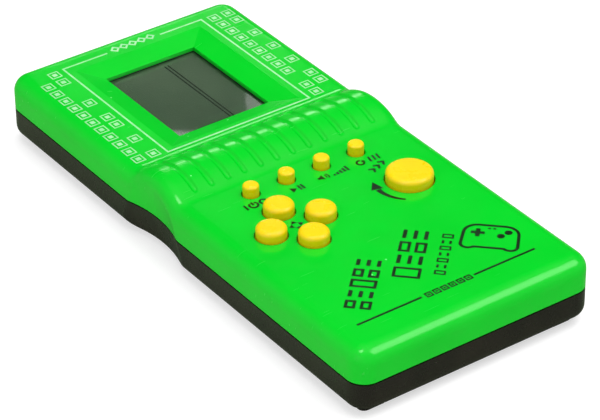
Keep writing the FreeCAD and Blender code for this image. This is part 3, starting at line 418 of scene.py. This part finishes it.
LONG_X = (1.0, 30.0, 30.0)
LONG_Z = (30.0, 30.0, 1.0)
X_AXIS = (1.0, 0.0, 0.0)
MATERIALS = {
    "case_green": moulded("case_green", colour(0, 198, 36), colour(0, 192, 34), (0.17, 0.22), grain=0.04,
                          ripple=0.05, mottle=45.0, fleck=colour(150, 250, 170), fleck_share=0.03,
                          scuff_level=0.78),
    "case_black": moulded("case_black", colour(33, 29, 23), colour(25, 23, 18), (0.2, 0.3), grain=0.25,
                          ripple=0.12, fleck=colour(80, 74, 68), fleck_share=0.06),
    "door_black": moulded("door_black", colour(33, 29, 23), colour(25, 23, 18), (0.24, 0.34), grain=0.3,
                          ripple=0.1, fleck=colour(80, 74, 68), fleck_share=0.06),
    "door_polished": moulded("door_polished", colour(62, 58, 50), colour(56, 52, 45), (0.07, 0.12), grain=0.0,
                             ripple=0.02, scuff_level=0.9),
    "key_yellow": moulded("key_yellow", colour(236, 203, 0), colour(233, 199, 0), (0.26, 0.29), grain=0.03,
                          ripple=0.005, scuff_level=0.82, fleck=colour(190, 160, 30), fleck_share=0.02),
    "lens_clear": lens_plastic(),
    "polariser_film": display_film(),
    "lcd_glass": moulded("lcd_glass", colour(104, 116, 98), colour(92, 104, 88), (0.08, 0.14), grain=0.0),
    "reflector_film": moulded("reflector_film", colour(150, 156, 148), colour(136, 142, 134), (0.3, 0.45),
                              grain=0.4, grain_scale=2600.0),
    "holder_white": moulded("holder_white", colour(226, 224, 216), colour(214, 211, 200), (0.4, 0.5)),
    "zebra_rubber": banded("zebra_rubber", colour(60, 60, 62), colour(200, 200, 196), X_AXIS, 0.0005, 0.0,
                           0.5, (0.55, 0.7)),
    "board_brown": laminate(),
    "carbon_ink": printed_ink("carbon_ink", colour(34, 34, 36), colour(52, 52, 54), (0.5, 0.65)),
    "epoxy_black": moulded("epoxy_black", colour(14, 14, 15), colour(22, 22, 24), (0.12, 0.25), ripple=0.4),
    "capacitor_sleeve": banded("capacitor_sleeve", colour(34, 44, 110), colour(196, 200, 210), X_AXIS, 0.05,
                               0.0268, 0.03, (0.2, 0.3)),
    "ceramic_orange": moulded("ceramic_orange", colour(196, 120, 52), colour(176, 100, 40), (0.25, 0.4),
                              ripple=0.3),
    "resistor_tan": banded("resistor_tan", colour(206, 178, 132), colour(120, 60, 30), X_AXIS, 0.0012, 0.0003,
                           0.4, (0.2, 0.32)),
    "silicone_grey": moulded("silicone_grey", colour(172, 174, 172), colour(158, 160, 158), (0.55, 0.7),
                             grain=0.3, fleck=colour(110, 112, 112), fleck_share=0.1, fleck_scale=900.0),
    "carbon_rubber": moulded("carbon_rubber", colour(30, 30, 30), colour(42, 42, 42), (0.6, 0.75), grain=0.5),
    "brass_plate": metal("brass_plate", colour(222, 184, 96), colour(176, 132, 58), LONG_X),
    "buzzer_ceramic": moulded("buzzer_ceramic", colour(222, 220, 206), colour(204, 202, 188), (0.25, 0.4),
                              grain=0.4),
    "cell_jacket": banded("cell_jacket", colour(34, 38, 44), colour(196, 140, 66), X_AXIS, 0.2, 0.009,
                          0.064, (0.16, 0.26)),
    "spring_steel": metal("spring_steel", colour(206, 206, 202), colour(160, 158, 150), LONG_Z, 200.0),
    "contact_steel": metal("contact_steel", colour(210, 210, 206), colour(168, 164, 152), LONG_X),
    "lead_insulation_red": moulded("lead_insulation_red", colour(186, 24, 26), colour(160, 18, 20), (0.4, 0.5)),
    "lead_insulation_black": moulded("lead_insulation_black", colour(34, 34, 36), colour(24, 24, 26),
                                     (0.4, 0.5)),
    "screw_steel": metal("screw_steel", colour(196, 196, 190), colour(142, 138, 126), LONG_Z, 120.0),
    "ink_white": printed_ink("ink_white", colour(164, 214, 168), colour(132, 204, 142), (0.3, 0.4)),
    "ink_black": printed_ink("ink_black", colour(12, 30, 12), colour(18, 44, 20), (0.3, 0.45)),
    "segment_dark": printed_ink("segment_dark", colour(12, 16, 12), colour(20, 26, 20), (0.35, 0.5)),
    "solder": metal("solder", colour(200, 202, 204), colour(150, 152, 156), (1.0, 1.0, 1.0), 500.0),
}

NODE_FINISHES = {
    "front_cover": "case_green", "rear_cover": "case_black", "battery_door": "door_black",
    "display_lens": "lens_clear", "lcd_polariser": "polariser_film", "lcd_panel": "lcd_glass",
    "lcd_reflector": "reflector_film", "lcd_holder": "holder_white", "zebra_strips": "zebra_rubber",
    "circuit_board": "board_brown", "key_contacts": "carbon_ink", "chip_blob": "epoxy_black",
    "electrolytic_capacitor": "capacitor_sleeve", "ceramic_capacitors": "ceramic_orange",
    "resistors": "resistor_tan", "function_key_sheet": "silicone_grey", "direction_key_sheet": "silicone_grey",
    "rotate_key_sheet": "silicone_grey", "buzzer_plate": "brass_plate", "buzzer_disc": "buzzer_ceramic",
    "buzzer_leads": "lead_insulation_black", "battery_cell_upper": "cell_jacket",
    "battery_cell_lower": "cell_jacket", "battery_springs": "spring_steel",
    "battery_contact_plates": "contact_steel", "battery_lead_red": "lead_insulation_red",
    "battery_lead_black": "lead_insulation_black", "board_screws": "screw_steel", "case_screws": "screw_steel",
}
for key in ALL_KEYS:
    NODE_FINISHES[key + "_cap"] = "key_yellow"
    NODE_FINISHES[key + "_pill"] = "carbon_rubber"
    NODE_FINISHES[key + "_dome"] = "silicone_grey"
for node, finish in NODE_FINISHES.items():
    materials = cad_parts[node].data.materials
    materials.clear()
    materials.append(MATERIALS[finish])


# ---- mesh helpers: all take millimetres in the row frame ----
def strip(mesh, left, right, low, high, closed=False):
    """A flat ribbon with thickness, between two rows of points of equal count."""
    rows = []
    for points in (left, right):
        rows.append([mesh.verts.new((x * MM, y * MM, low * MM)) for x, y in points])
        rows.append([mesh.verts.new((x * MM, y * MM, high * MM)) for x, y in points])
    left_low, left_high, right_low, right_high = rows
    count = len(left)
    steps = range(count if closed else count - 1)
    for i in steps:
        j = (i + 1) % count
        mesh.faces.new((left_high[i], left_high[j], right_high[j], right_high[i]))
        mesh.faces.new((left_low[j], left_low[i], right_low[i], right_low[j]))
        mesh.faces.new((left_low[i], left_low[j], left_high[j], left_high[i]))
        mesh.faces.new((right_low[j], right_low[i], right_high[i], right_high[j]))
    if not closed:
        for i in (0, -1):
            mesh.faces.new((left_low[i], left_high[i], right_high[i], right_low[i]))


def plate(mesh, outline, low, high):
    """A flat plate of a convex outline."""
    bottom = [mesh.verts.new((x * MM, y * MM, low * MM)) for x, y in outline]
    top = [mesh.verts.new((x * MM, y * MM, high * MM)) for x, y in outline]
    mesh.faces.new(top)
    mesh.faces.new(bottom[::-1])
    for i in range(len(outline)):
        j = (i + 1) % len(outline)
        mesh.faces.new((bottom[i], bottom[j], top[j], top[i]))


def offset_rows(points, width, closed):
    """The two edges of a line of that width through the points, mitred at its corners."""
    widths = width if isinstance(width, (list, tuple)) else [width] * len(points)
    left, right = [], []
    count = len(points)
    for i, (x, y) in enumerate(points):
        before = points[i - 1] if closed or i > 0 else points[i]
        after = points[(i + 1) % count] if closed or i < count - 1 else points[i]
        back = Vector((x - before[0], y - before[1]))
        ahead = Vector((after[0] - x, after[1] - y))
        back = (back if back.length > 1e-9 else ahead).normalized()
        ahead = (ahead if ahead.length > 1e-9 else back).normalized()
        along = (back + ahead).normalized()
        reach = widths[i] / 2 / max(along.dot(back), 0.3)
        left.append((x - along.y * reach, y + along.x * reach))
        right.append((x + along.y * reach, y - along.x * reach))
    return left, right


def stroke(mesh, points, width, low, high, closed=False):
    left, right = offset_rows(points, width, closed)
    strip(mesh, left, right, low, high, closed)


def arc(centre, radius, start, end, count=24):
    """Points on a circle from one angle to another, in degrees."""
    angles = [math.radians(start + (end - start) * i / count) for i in range(count + 1)]
    return [(centre[0] + radius * math.cos(a), centre[1] + radius * math.sin(a)) for a in angles]


def turned(points, origin, degrees):
    """Points drawn about (0, 0), turned and moved to an origin."""
    c, s = math.cos(math.radians(degrees)), math.sin(math.radians(degrees))
    return [(origin[0] + c * x - s * y, origin[1] + s * x + c * y) for x, y in points]


def rectangle(x0, x1, y0, y1):
    return [(x0, y0), (x1, y0), (x1, y1), (x0, y1)]


def finished(name, mesh, finish, body="case"):
    """Closes a bmesh into a piece that rides on a body."""
    bmesh.ops.recalc_face_normals(mesh, faces=mesh.faces)
    data = bpy.data.meshes.new(name)
    mesh.to_mesh(data)
    mesh.free()
    return placed(name, data, finish, body)


def placed(name, data, finish, body="case"):
    piece = bpy.data.objects.new(name, data)
    bpy.context.scene.collection.objects.link(piece)
    data.materials.clear()
    data.materials.append(MATERIALS[finish])
    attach(piece, body)
    return piece


# ---- marks printed on the face ----
def frame_line():
    """White line round the display, open at its top for the header marks."""
    mesh = bmesh.new()
    path = [(LINE_GAP[0], LINE_TOP_Y), (-LINE_X, LINE_TOP_Y), (-LINE_X, LINE_BOTTOM_Y),
            (LINE_X, LINE_BOTTOM_Y), (LINE_X, LINE_TOP_Y), (LINE_GAP[1], LINE_TOP_Y)]
    stroke(mesh, path, LINE_WIDTH, *INK)
    finished("display_frame_line", mesh, "ink_white")


def header_marks():
    """Five plain hollow diamonds in the gap of the frame line."""
    mesh = bmesh.new()
    for i in range(DIAMOND_COUNT):
        x = DIAMOND_MIDDLE[0] + (i - (DIAMOND_COUNT - 1) / 2) * DIAMOND_PITCH
        diamond = [(x + DIAMOND_REACH[0] * a, DIAMOND_MIDDLE[1] + DIAMOND_REACH[1] * b)
                   for a, b in ((1, 0), (0, 1), (-1, 0), (0, -1))]
        stroke(mesh, diamond, DIAMOND_LINE, *INK, closed=True)
    finished("header_marks", mesh, "ink_white")


def square_mark_tree():
    """Puts a square outline with a square core on every point of the base mesh."""
    tree, start, end = new_group(
        "square_marks", "GeometryNodeTree",
        [("Geometry", "NodeSocketGeometry", None), ("Side", FLOAT, 0.004), ("Line", FLOAT, 0.0005),
         ("Core", FLOAT, 0.002), ("Thickness", FLOAT, 0.0001), ("Finish", "NodeSocketMaterial", None)],
        [("Geometry", "NodeSocketGeometry")])
    middle_side = math_node(tree, "SUBTRACT", start["Side"], start["Line"])
    outline = add(tree, "GeometryNodeCurvePrimitiveQuadrilateral", Width=middle_side, Height=middle_side)
    mitred = math_node(tree, "MULTIPLY", start["Line"], math.sqrt(2))
    section = add(tree, "GeometryNodeCurvePrimitiveQuadrilateral", Width=mitred, Height=start["Thickness"])
    ring = add(tree, "GeometryNodeCurveToMesh", Curve=outline.outputs[0], Profile_Curve=section.outputs[0])
    size = add(tree, "ShaderNodeCombineXYZ", X=start["Core"], Y=start["Core"], Z=start["Thickness"])
    core = add(tree, "GeometryNodeMeshCube", Size=size.outputs[0])
    both = tree.nodes.new("GeometryNodeJoinGeometry")
    tree.links.new(ring.outputs[0], both.inputs[0])
    tree.links.new(core.outputs[0], both.inputs[0])
    marks = add(tree, "GeometryNodeInstanceOnPoints", Points=start["Geometry"], Instance=both.outputs[0])
    real = add(tree, "GeometryNodeRealizeInstances", Geometry=marks.outputs[0])
    done = add(tree, "GeometryNodeSetMaterial", Geometry=real.outputs[0], Material=start["Finish"])
    tree.links.new(done.outputs[0], end["Geometry"])
    return tree


def dome_tree():
    """Puts a low faceted dome on every point of the base mesh."""
    tree, start, end = new_group(
        "small_domes", "GeometryNodeTree",
        [("Geometry", "NodeSocketGeometry", None), ("Radius", FLOAT, 0.0008), ("Flatness", FLOAT, 0.6),
         ("Finish", "NodeSocketMaterial", None)],
        [("Geometry", "NodeSocketGeometry")])
    ball = add(tree, "GeometryNodeMeshUVSphere", Segments=10, Rings=6, Radius=start["Radius"])
    size = add(tree, "ShaderNodeCombineXYZ", X=1.0, Y=1.0, Z=start["Flatness"])
    marks = add(tree, "GeometryNodeInstanceOnPoints", Points=start["Geometry"], Instance=ball.outputs[0],
                Scale=size.outputs[0])
    real = add(tree, "GeometryNodeRealizeInstances", Geometry=marks.outputs[0])
    done = add(tree, "GeometryNodeSetMaterial", Geometry=real.outputs[0], Material=start["Finish"])
    tree.links.new(done.outputs[0], end["Geometry"])
    return tree


def grown(name, tree, points, finish, body="case", **values):
    """Runs a tree on loose points, and keeps its result as a plain mesh piece."""
    seed = bpy.data.meshes.new(name + "_points")
    seed.from_pydata([(x * MM, y * MM, z * MM) for x, y, z in points], [], [])
    carrier = bpy.data.objects.new(name + "_carrier", seed)
    bpy.context.scene.collection.objects.link(carrier)
    modifier = carrier.modifiers.new("grow", "NODES")
    modifier.node_group = tree
    sockets = {s.name: s.identifier for s in tree.interface.items_tree if s.in_out == "INPUT"}
    for socket_name, value in values.items():
        modifier[sockets[socket_name]] = value
    modifier[sockets["Finish"]] = MATERIALS[finish]
    bpy.context.view_layer.update()
    evaluated = carrier.evaluated_get(bpy.context.evaluated_depsgraph_get())
    data = bpy.data.meshes.new_from_object(evaluated)
    data.name = name
    carrier.modifiers.remove(modifier)
    bpy.data.objects.remove(carrier)
    return placed(name, data, finish, body)


def square_marks(tree):
    """Columns of square marks on both sides of the window."""
    points = []
    for x, rows in SQUARE_COLUMNS.items():
        for i, printed in enumerate(rows):
            if printed == "1":
                points.append((x, SQUARE_TOP_Y - i * SQUARE_PITCH, INK_MIDDLE))
    grown("display_side_squares", tree, points, "ink_white", Side=SQUARE_SIDE * MM, Line=SQUARE_LINE * MM,
          Core=SQUARE_CORE * MM, Thickness=(INK_RISE + INK_SINK) * MM)


def power_marks(mesh, x, y):
    """Standby sign between a plain bar and a plain ring."""
    half = ICON_HEIGHT / 2
    stroke(mesh, arc((x, y), half, 122, 418), ICON_LINE, *INK)
    stroke(mesh, [(x, y), (x, y + half + 0.3)], ICON_LINE, *INK)
    stroke(mesh, [(x - 2.7, y - half), (x - 2.7, y + half)], ICON_LINE, *INK)
    stroke(mesh, arc((x + 3.4, y), half - 0.25, 0, 345), ICON_LINE, *INK, closed=True)


def play_marks(mesh, x, y):
    """Triangle and two bars."""
    half = ICON_HEIGHT / 2
    plate(mesh, [(x - 2.1, y - half), (x - 0.2, y), (x - 2.1, y + half)], *INK)
    for bar_x in (x + 0.8, x + 1.9):
        stroke(mesh, [(bar_x, y - half), (bar_x, y + half)], ICON_LINE, *INK)


def sound_marks(mesh, x, y):
    """Loudspeaker, two waves, and five bars that grow."""
    half = ICON_HEIGHT / 2
    left = x - 5.2
    plate(mesh, rectangle(left, left + 0.8, y - 0.5, y + 0.5), *INK)
    horn = [(left + 0.8, y - 0.5), (left + 1.9, y - half), (left + 1.9, y + half), (left + 0.8, y + 0.5)]
    plate(mesh, horn, *INK)
    for radius in (1.0, 1.8):
        stroke(mesh, arc((left + 1.9, y), radius, -42, 42, 8), 0.45, *INK)
    for i in range(5):
        bar_x = left + 5.4 + i * 1.25
        stroke(mesh, [(bar_x, y - half), (bar_x, y - half + 0.8 + 0.45 * i)], 0.72, *INK)


def reset_marks(mesh, x, y):
    """Open ring with an arrow head, then three short bars."""
    half = ICON_HEIGHT / 2
    ring_x = x - 2.6
    stroke(mesh, arc((ring_x, y), half - 0.2, 60, 350), ICON_LINE, *INK)
    plate(mesh, [(ring_x + 0.3, y - 0.1), (ring_x + 1.9, y - 0.1), (ring_x + 1.1, y + 0.95)], *INK)
    for i in range(3):
        bar_x = x + 0.6 + i * 1.5
        stroke(mesh, [(bar_x, y - half), (bar_x + 0.5, y + half)], ICON_LINE, *INK)


def key_marks():
    """One sign below each function key."""
    mesh = bmesh.new()
    for key, draw in zip(FUNCTION_KEYS, (power_marks, play_marks, sound_marks, reset_marks)):
        aside, y = ICON_PLACES[key]
        draw(mesh, middle(key + "_cap").x + aside, y)
    finished("function_key_marks", mesh, "ink_black")


def turn_arrow():
    """Curved arrow beside the rotate key, and three chevrons above it."""
    mesh = bmesh.new()
    count = 16
    narrow, wide = TURN_ARROW_WIDTHS
    widths = [narrow + (wide - narrow) * i / count for i in range(count + 1)]
    stroke(mesh, arc((ROTATE.x, ROTATE.y), TURN_ARROW_RADIUS, *TURN_ARROW_SWEEP, count), widths, *INK)
    plate(mesh, TURN_ARROW_HEAD, *INK)
    for i in range(3):
        peak = (CHEVRON_START[0] + i * CHEVRON_STEP[0], CHEVRON_START[1] + i * CHEVRON_STEP[1])
        chevron = turned([(-0.9, 1.2), (0.4, 0.0), (-0.9, -1.2)], peak, 20)
        stroke(mesh, chevron, CHEVRON_LINE, *INK)
    finished("rotate_key_marks", mesh, "ink_black")


def direction_marks():
    """Four small arrow heads that point at the direction keys."""
    mesh = bmesh.new()
    for turn in (0, 90, 180, 270):
        head = turned([(1.05, -0.95), (2.5, 0.0), (1.05, 0.95)], (PAD_CENTRE.x, PAD_CENTRE.y), turn)
        plate(mesh, head, *INK)
    finished("direction_key_marks", mesh, "ink_black")


def brick_lane(mesh, start, length, height, columns, gap, line):
    """A diagonal lane of upright columns, each laid from a few outlined bricks."""
    pitch = (length + gap) / len(columns)
    for i, bricks in enumerate(columns):
        x0 = i * pitch + line / 2
        x1 = (i + 1) * pitch - gap - line / 2
        rise = (height + gap) / bricks
        for row in range(bricks):
            y0 = row * rise + line / 2
            y1 = (row + 1) * rise - gap - line / 2
            if y1 - y0 > 2 * line:
                stroke(mesh, turned(rectangle(x0, x1, y0, y1), start, 45), line, *INK, closed=True)
            else:
                stroke(mesh, turned([(x0, (y0 + y1) / 2), (x1, (y0 + y1) / 2)], start, 45), 1.3 * line, *INK)


def brick_lanes():
    mesh = bmesh.new()
    for lane in BRICK_LANES:
        brick_lane(mesh, *lane)
    finished("diagonal_brick_lanes", mesh, "ink_black")


def pad_pictogram():
    """Plain outline of a game pad with a cross, two dots and two dashes."""
    mesh = bmesh.new()

    def drawn(points):
        return turned(points, PAD_PLACE, -45)

    outline = (arc((-3.9, 1.4), 4.1, 90, 180, 8) + arc((-6.1, -4.4), 2.2, 190, 320, 10) +
               arc((6.1, -4.4), 2.2, 220, 350, 10) + arc((3.9, 1.4), 4.1, 0, 90, 8))
    stroke(mesh, drawn(outline), PAD_LINE, *INK, closed=True)
    for arm in (rectangle(-5.9, -1.9, 0.85, 2.15), rectangle(-4.55, -3.25, -0.5, 0.85),
                rectangle(-4.55, -3.25, 2.15, 3.5)):
        plate(mesh, drawn(arm), *INK)
    for dot in ((2.9, 0.5), (4.9, 2.6)):
        plate(mesh, drawn(arc(dot, 1.15, 0, 345, 23)), *INK)
    for x in (-0.75, 0.75):
        stroke(mesh, drawn([(x - 0.4, 4.0), (x + 0.4, 4.0)]), 0.7, *INK)
    finished("pad_pictogram", mesh, "ink_black")


def bottom_line(tree):
    """Line across the bottom of the face, with a row of square pips in its gap."""
    mesh = bmesh.new()
    for x0, x1 in BOTTOM_LINE_SPANS:
        stroke(mesh, [(x0, BOTTOM_LINE_Y), (x1, BOTTOM_LINE_Y)], BOTTOM_LINE_WIDTH, *INK)
    finished("bottom_line", mesh, "ink_black")
    points = [(PIP_START[0] + i * PIP_PITCH, PIP_START[1], INK_MIDDLE) for i in range(PIP_COUNT)]
    grown("bottom_pips", tree, points, "ink_black", Side=PIP_SIDE * MM, Line=PIP_LINE * MM,
          Core=PIP_CORE * MM, Thickness=(INK_RISE + INK_SINK) * MM)


# ---- display ----
def window_border():
    """Black band on the lens, just inside the opening, that darkens the window's edge."""
    mesh = bmesh.new()
    x, y = WINDOW_HALF_X + BORDER_OUTSIDE, WINDOW_HALF_Y + BORDER_OUTSIDE
    corners = [(WINDOW.x + a * x, WINDOW.y + b * y) for a, b in ((-1, -1), (1, -1), (1, 1), (-1, 1))]
    stroke(mesh, corners, BORDER_WIDTH, LENS_TOP - INK_SINK / 2, LENS_TOP + INK_RISE, closed=True)
    finished("lens_border", mesh, "segment_dark")


def display_segments():
    """Field lines of the display: a double line beside the field, and one below it."""
    mesh = bmesh.new()
    layer = (FILM_TOP - 0.01, FILM_TOP + 0.02)
    for x in FIELD_LINES_X:
        stroke(mesh, [(x, FIELD_BOTTOM), (x, FIELD_TOP)], FIELD_LINE, *layer)
    stroke(mesh, [(FIELD_LEFT, FIELD_BOTTOM), (FIELD_LINES_X[1], FIELD_BOTTOM)], FIELD_LINE, *layer)
    finished("display_field_lines", mesh, "segment_dark")


# ---- key domes ----
def lathe(mesh, profile, x, y, count=40):
    """Turns a profile of (radius, height) points about an upright axis; its ends lie on the axis."""
    rings = []
    for radius, z in profile[1:-1]:
        ring = []
        for i in range(count):
            angle = 2 * math.pi * i / count
            place = Vector((x + radius * math.cos(angle), y + radius * math.sin(angle), z))
            ring.append(mesh.verts.new(place * MM))
        rings.append(ring)
    first = mesh.verts.new((x * MM, y * MM, profile[0][1] * MM))
    last = mesh.verts.new((x * MM, y * MM, profile[-1][1] * MM))
    for i in range(count):
        j = (i + 1) % count
        mesh.faces.new((first, rings[0][j], rings[0][i]))
        mesh.faces.new((last, rings[-1][i], rings[-1][j]))
        for low, high in zip(rings, rings[1:]):
            mesh.faces.new((low[i], low[j], high[j], high[i]))


def key_dome(key):
    """Silicone dome with a plunger under its roof."""
    centre = middle(key + "_dome")
    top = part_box(key + "_dome")[1].z / MM
    height = top - SHEET_TOP
    under_roof = top - DOME_ROOF_THICK
    plunger_end = under_roof - PLUNGER_DROP
    profile = [(0.0, plunger_end), (PLUNGER_RADIUS - 0.1, plunger_end), (PLUNGER_RADIUS, plunger_end + 0.1),
               (PLUNGER_RADIUS, under_roof), (DOME_ROOF, under_roof), (DOME_FOOT_INNER - 0.1, SHEET_TOP + 0.2),
               (DOME_FOOT_INNER, SHEET_TOP), (DOME_FOOT_OUTER, SHEET_TOP)]
    for i in range(1, 5):
        share = i / 5
        profile.append((DOME_FOOT_OUTER - (DOME_FOOT_OUTER - DOME_ROOF) * share, SHEET_TOP + height * share))
    profile += [(DOME_ROOF + 0.05, top - 0.15), (DOME_ROOF - 0.2, top), (0.0, top)]
    mesh = bmesh.new()
    lathe(mesh, profile, centre.x, centre.y)
    piece = finished(key + "_dome_skin", mesh, "silicone_grey")
    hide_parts(key + "_dome")
    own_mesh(piece)


# ---- small things inside and below ----
def solder_joints(tree):
    """Rows of soldered joints under the circuit board, beside the parts that they hold."""
    points = []
    for i in range(4):
        for x in (7.0, 15.0):
            points.append((x, 4.0 + 5.0 * i))
    for x in (-10.8, -7.6, -2.8, 0.4, 24.4, 27.6):
        points.append((x, 10.5))
    for i in range(12):
        for side in (-1, 1):
            points.append((side * CONNECTOR_SPACING * (i + 0.5), WINDOW.y + side * CONNECTOR_OUT))
    points = [(x, y, BOARD_UNDERSIDE) for x, y in points]
    grown("solder_joints", tree, points, "solder", Radius=JOINT_RADIUS * MM, Flatness=JOINT_FLATNESS)


def door_arrow():
    """Polished raised arrow on the battery door, which points the way it slides."""
    mesh = bmesh.new()
    x = (DOOR_LOW.x + DOOR_HIGH.x) / 2
    y = DOOR_LOW.y + ARROW_FROM_EDGE
    low, high = DOOR_LOW.z - ARROW_PROUD, DOOR_LOW.z + ARROW_ROOT
    plate(mesh, [(x - ARROW_HALF_WIDTH, y), (x, y - ARROW_HEAD), (x + ARROW_HALF_WIDTH, y)], low, high)
    plate(mesh, rectangle(x - ARROW_TAIL_HALF_WIDTH, x + ARROW_TAIL_HALF_WIDTH, y, y + ARROW_TAIL), low, high)
    finished("door_arrow", mesh, "door_polished", body="door")


def marks():
    squares = square_mark_tree()
    frame_line()
    header_marks()
    square_marks(squares)
    key_marks()
    turn_arrow()
    direction_marks()
    brick_lanes()
    pad_pictogram()
    bottom_line(squares)


marks()
window_border()
display_segments()
for key in ALL_KEYS:
    key_dome(key)
solder_joints(dome_tree())
door_arrow()


# ---- floor, light and camera ----
FLOOR_GLOW = 0.6
FLOOR_Z = -0.0001
ROOM_LEVEL = 0.45
DARK_SIDE = (0.48, 0.68, 0.554)
CENTRE = (0.0, 0.0, 0.02)
WINDOW_CORNERS = [Vector((side * WINDOW_HALF_X, WINDOW.y - WINDOW_HALF_Y, LENS_TOP)) * MM for side in (-1, 1)]
LAMPS = (
    # name, aim, direction, distance, size, brightness, lights surfaces
    ("room_light", CENTRE, (0.2, -0.1, 1.0), 1.6, (1.8, 1.8), 3.3, True),
    ("side_light", CENTRE, (-0.85, -0.35, 0.45), 1.6, (1.2, 1.0), 1.6, True),
    ("edge_panel", CENTRE, (0.48, -0.55, 0.68), 1.1, (0.60, 0.52), 3.4, False),
    ("end_panel", CENTRE, (-0.37, -0.17, 0.91), 1.1, (0.28, 0.28), 6.0, False),
    ("crest_panel", CENTRE, (0.48, 0.80, 0.35), 1.1, (0.26, 0.07), 7.0, False),
    ("left_glare", WINDOW_CORNERS[0], (0.449, 0.704, 0.527), 0.7, (0.020, 0.010), 2.4, False),
    ("right_glare", WINDOW_CORNERS[1], (0.478, 0.705, 0.524), 0.7, (0.016, 0.022), 1.6, False),
)


def floor():
    data = bpy.data.meshes.new("floor")
    reach = 6.0
    corners = [(x, y, FLOOR_Z) for x, y in rectangle(-reach, reach, -reach, reach)]
    data.from_pydata(corners, [], [(0, 1, 2, 3)])
    sheet = bpy.data.objects.new("floor", data)
    bpy.context.scene.collection.objects.link(sheet)
    material, tree, shader, place = blank("floor_card")
    skin = effect(tree, SKIN, Place=place, Colour=(0.50, 0.50, 0.50, 1.0), Deep_Colour=(0.48, 0.48, 0.48, 1.0),
                  Mottle_Scale=3.0, Gloss_Low=0.8, Gloss_High=0.9)
    # Gloss rays see the floor as a painted reflection for the case's walls: dark grey in front of the bottom
    # end, as painted shade there, and greenish grey elsewhere, as a painted green sheen on the side walls.
    glossy = tree.nodes.new("ShaderNodeLightPath").outputs["Is Glossy Ray"]
    painted_reflection_share = remap(tree, add(tree, "ShaderNodeSeparateXYZ", Vector=place).outputs["Y"], -0.11, -0.07, 0.0, 1.0)
    painted_wall_reflection = mix_colours(tree, painted_reflection_share, (0.10, 0.11, 0.08, 1.0), (0.19, 0.26, 0.16, 1.0))
    card_and_painted_reflection = mix_colours(tree, glossy, skin["Colour"], painted_wall_reflection)
    join(tree, shader, card_and_painted_reflection, skin["Roughness"], skin["Normal"])
    shader.inputs["Specular IOR Level"].default_value = 0.0
    shader.inputs["Emission Color"].default_value = (1.0, 1.0, 1.0, 1.0)
    glow = add(tree, "ShaderNodeMix", _0=glossy, _2=FLOOR_GLOW, _3=0.0).outputs[0]
    tree.links.new(glow, shader.inputs["Emission Strength"])
    data.materials.append(material)


def softbox(name, aim, direction, distance, size, brightness, lights_surfaces):
    """Rectangular light that faces a point: a lamp that lights surfaces, or a panel that only gloss sees."""
    light = bpy.data.lights.new(name, "AREA")
    light.shape = "RECTANGLE"
    light.size, light.size_y = size
    light.energy = brightness * math.pi * size[0] * size[1]
    lamp = bpy.data.objects.new(name, light)
    bpy.context.scene.collection.objects.link(lamp)
    toward = Vector(direction).normalized()
    lamp.location = Vector(aim) + toward * distance
    lamp.rotation_mode = "QUATERNION"
    lamp.rotation_quaternion = toward.to_track_quat("Z", "Y")
    lamp.visible_glossy = not lights_surfaces
    lamp.visible_transmission = lights_surfaces
    lamp.visible_diffuse = lights_surfaces


def studio_world():
    """White room; gloss sees it dim above and behind the display end."""
    world = bpy.data.worlds.new("studio")
    bpy.context.scene.world = world
    world.use_nodes = True
    tree = world.node_tree
    background = tree.nodes["Background"]
    direction = tree.nodes.new("ShaderNodeTexCoord").outputs["Generated"]
    facing = add(tree, "ShaderNodeVectorMath", settings={"operation": "DOT_PRODUCT"}, _0=direction,
                 _1=DARK_SIDE).outputs["Value"]
    seen = remap(tree, facing, 0.3, 0.8, 0.35, 0.015)
    glossy = tree.nodes.new("ShaderNodeLightPath").outputs["Is Glossy Ray"]
    camera_ray = tree.nodes.new("ShaderNodeLightPath").outputs["Is Camera Ray"]
    level = add(tree, "ShaderNodeMix", _0=glossy, _2=ROOM_LEVEL, _3=seen).outputs[0]
    level = add(tree, "ShaderNodeMix", _0=camera_ray, _2=level, _3=1.0).outputs[0]
    tree.links.new(level, background.inputs["Strength"])
    background.inputs["Color"].default_value = (1.0, 1.0, 1.0, 1.0)


CAMERA_TURN = -35.181
CAMERA_RISE = 33.631
CAMERA_ROLL = -0.657
CAMERA_DISTANCE = 0.914405
CAMERA_SIDE = 0.003811
CAMERA_LIFT = -0.005806
CAMERA_LENS = 182.5
LOOK_AT = Vector((0.0, 0.0, 0.0117))


def camera():
    turn, rise, roll = (math.radians(a) for a in (CAMERA_TURN, CAMERA_RISE, CAMERA_ROLL))
    back = Vector((math.sin(turn) * math.cos(rise), -math.cos(turn) * math.cos(rise), math.sin(rise)))
    right = Vector((math.cos(turn), math.sin(turn), 0.0))
    up = back.cross(right)
    side = right * math.cos(roll) + up * math.sin(roll)
    top = up * math.cos(roll) - right * math.sin(roll)
    data = bpy.data.cameras.new("camera")
    data.lens = CAMERA_LENS
    data.sensor_width = 36.0
    data.clip_end = 50.0
    eye = bpy.data.objects.new("camera", data)
    bpy.context.scene.collection.objects.link(eye)
    place = LOOK_AT + back * CAMERA_DISTANCE + side * CAMERA_SIDE + top * CAMERA_LIFT
    turning = Matrix((side, top, back)).transposed().to_4x4()
    eye.matrix_world = Matrix.Translation(place) @ turning
    bpy.context.scene.camera = eye


floor()
for lamp in LAMPS:
    softbox(*lamp)
studio_world()
camera()
bpy.context.scene.view_settings.view_transform = "Standard"
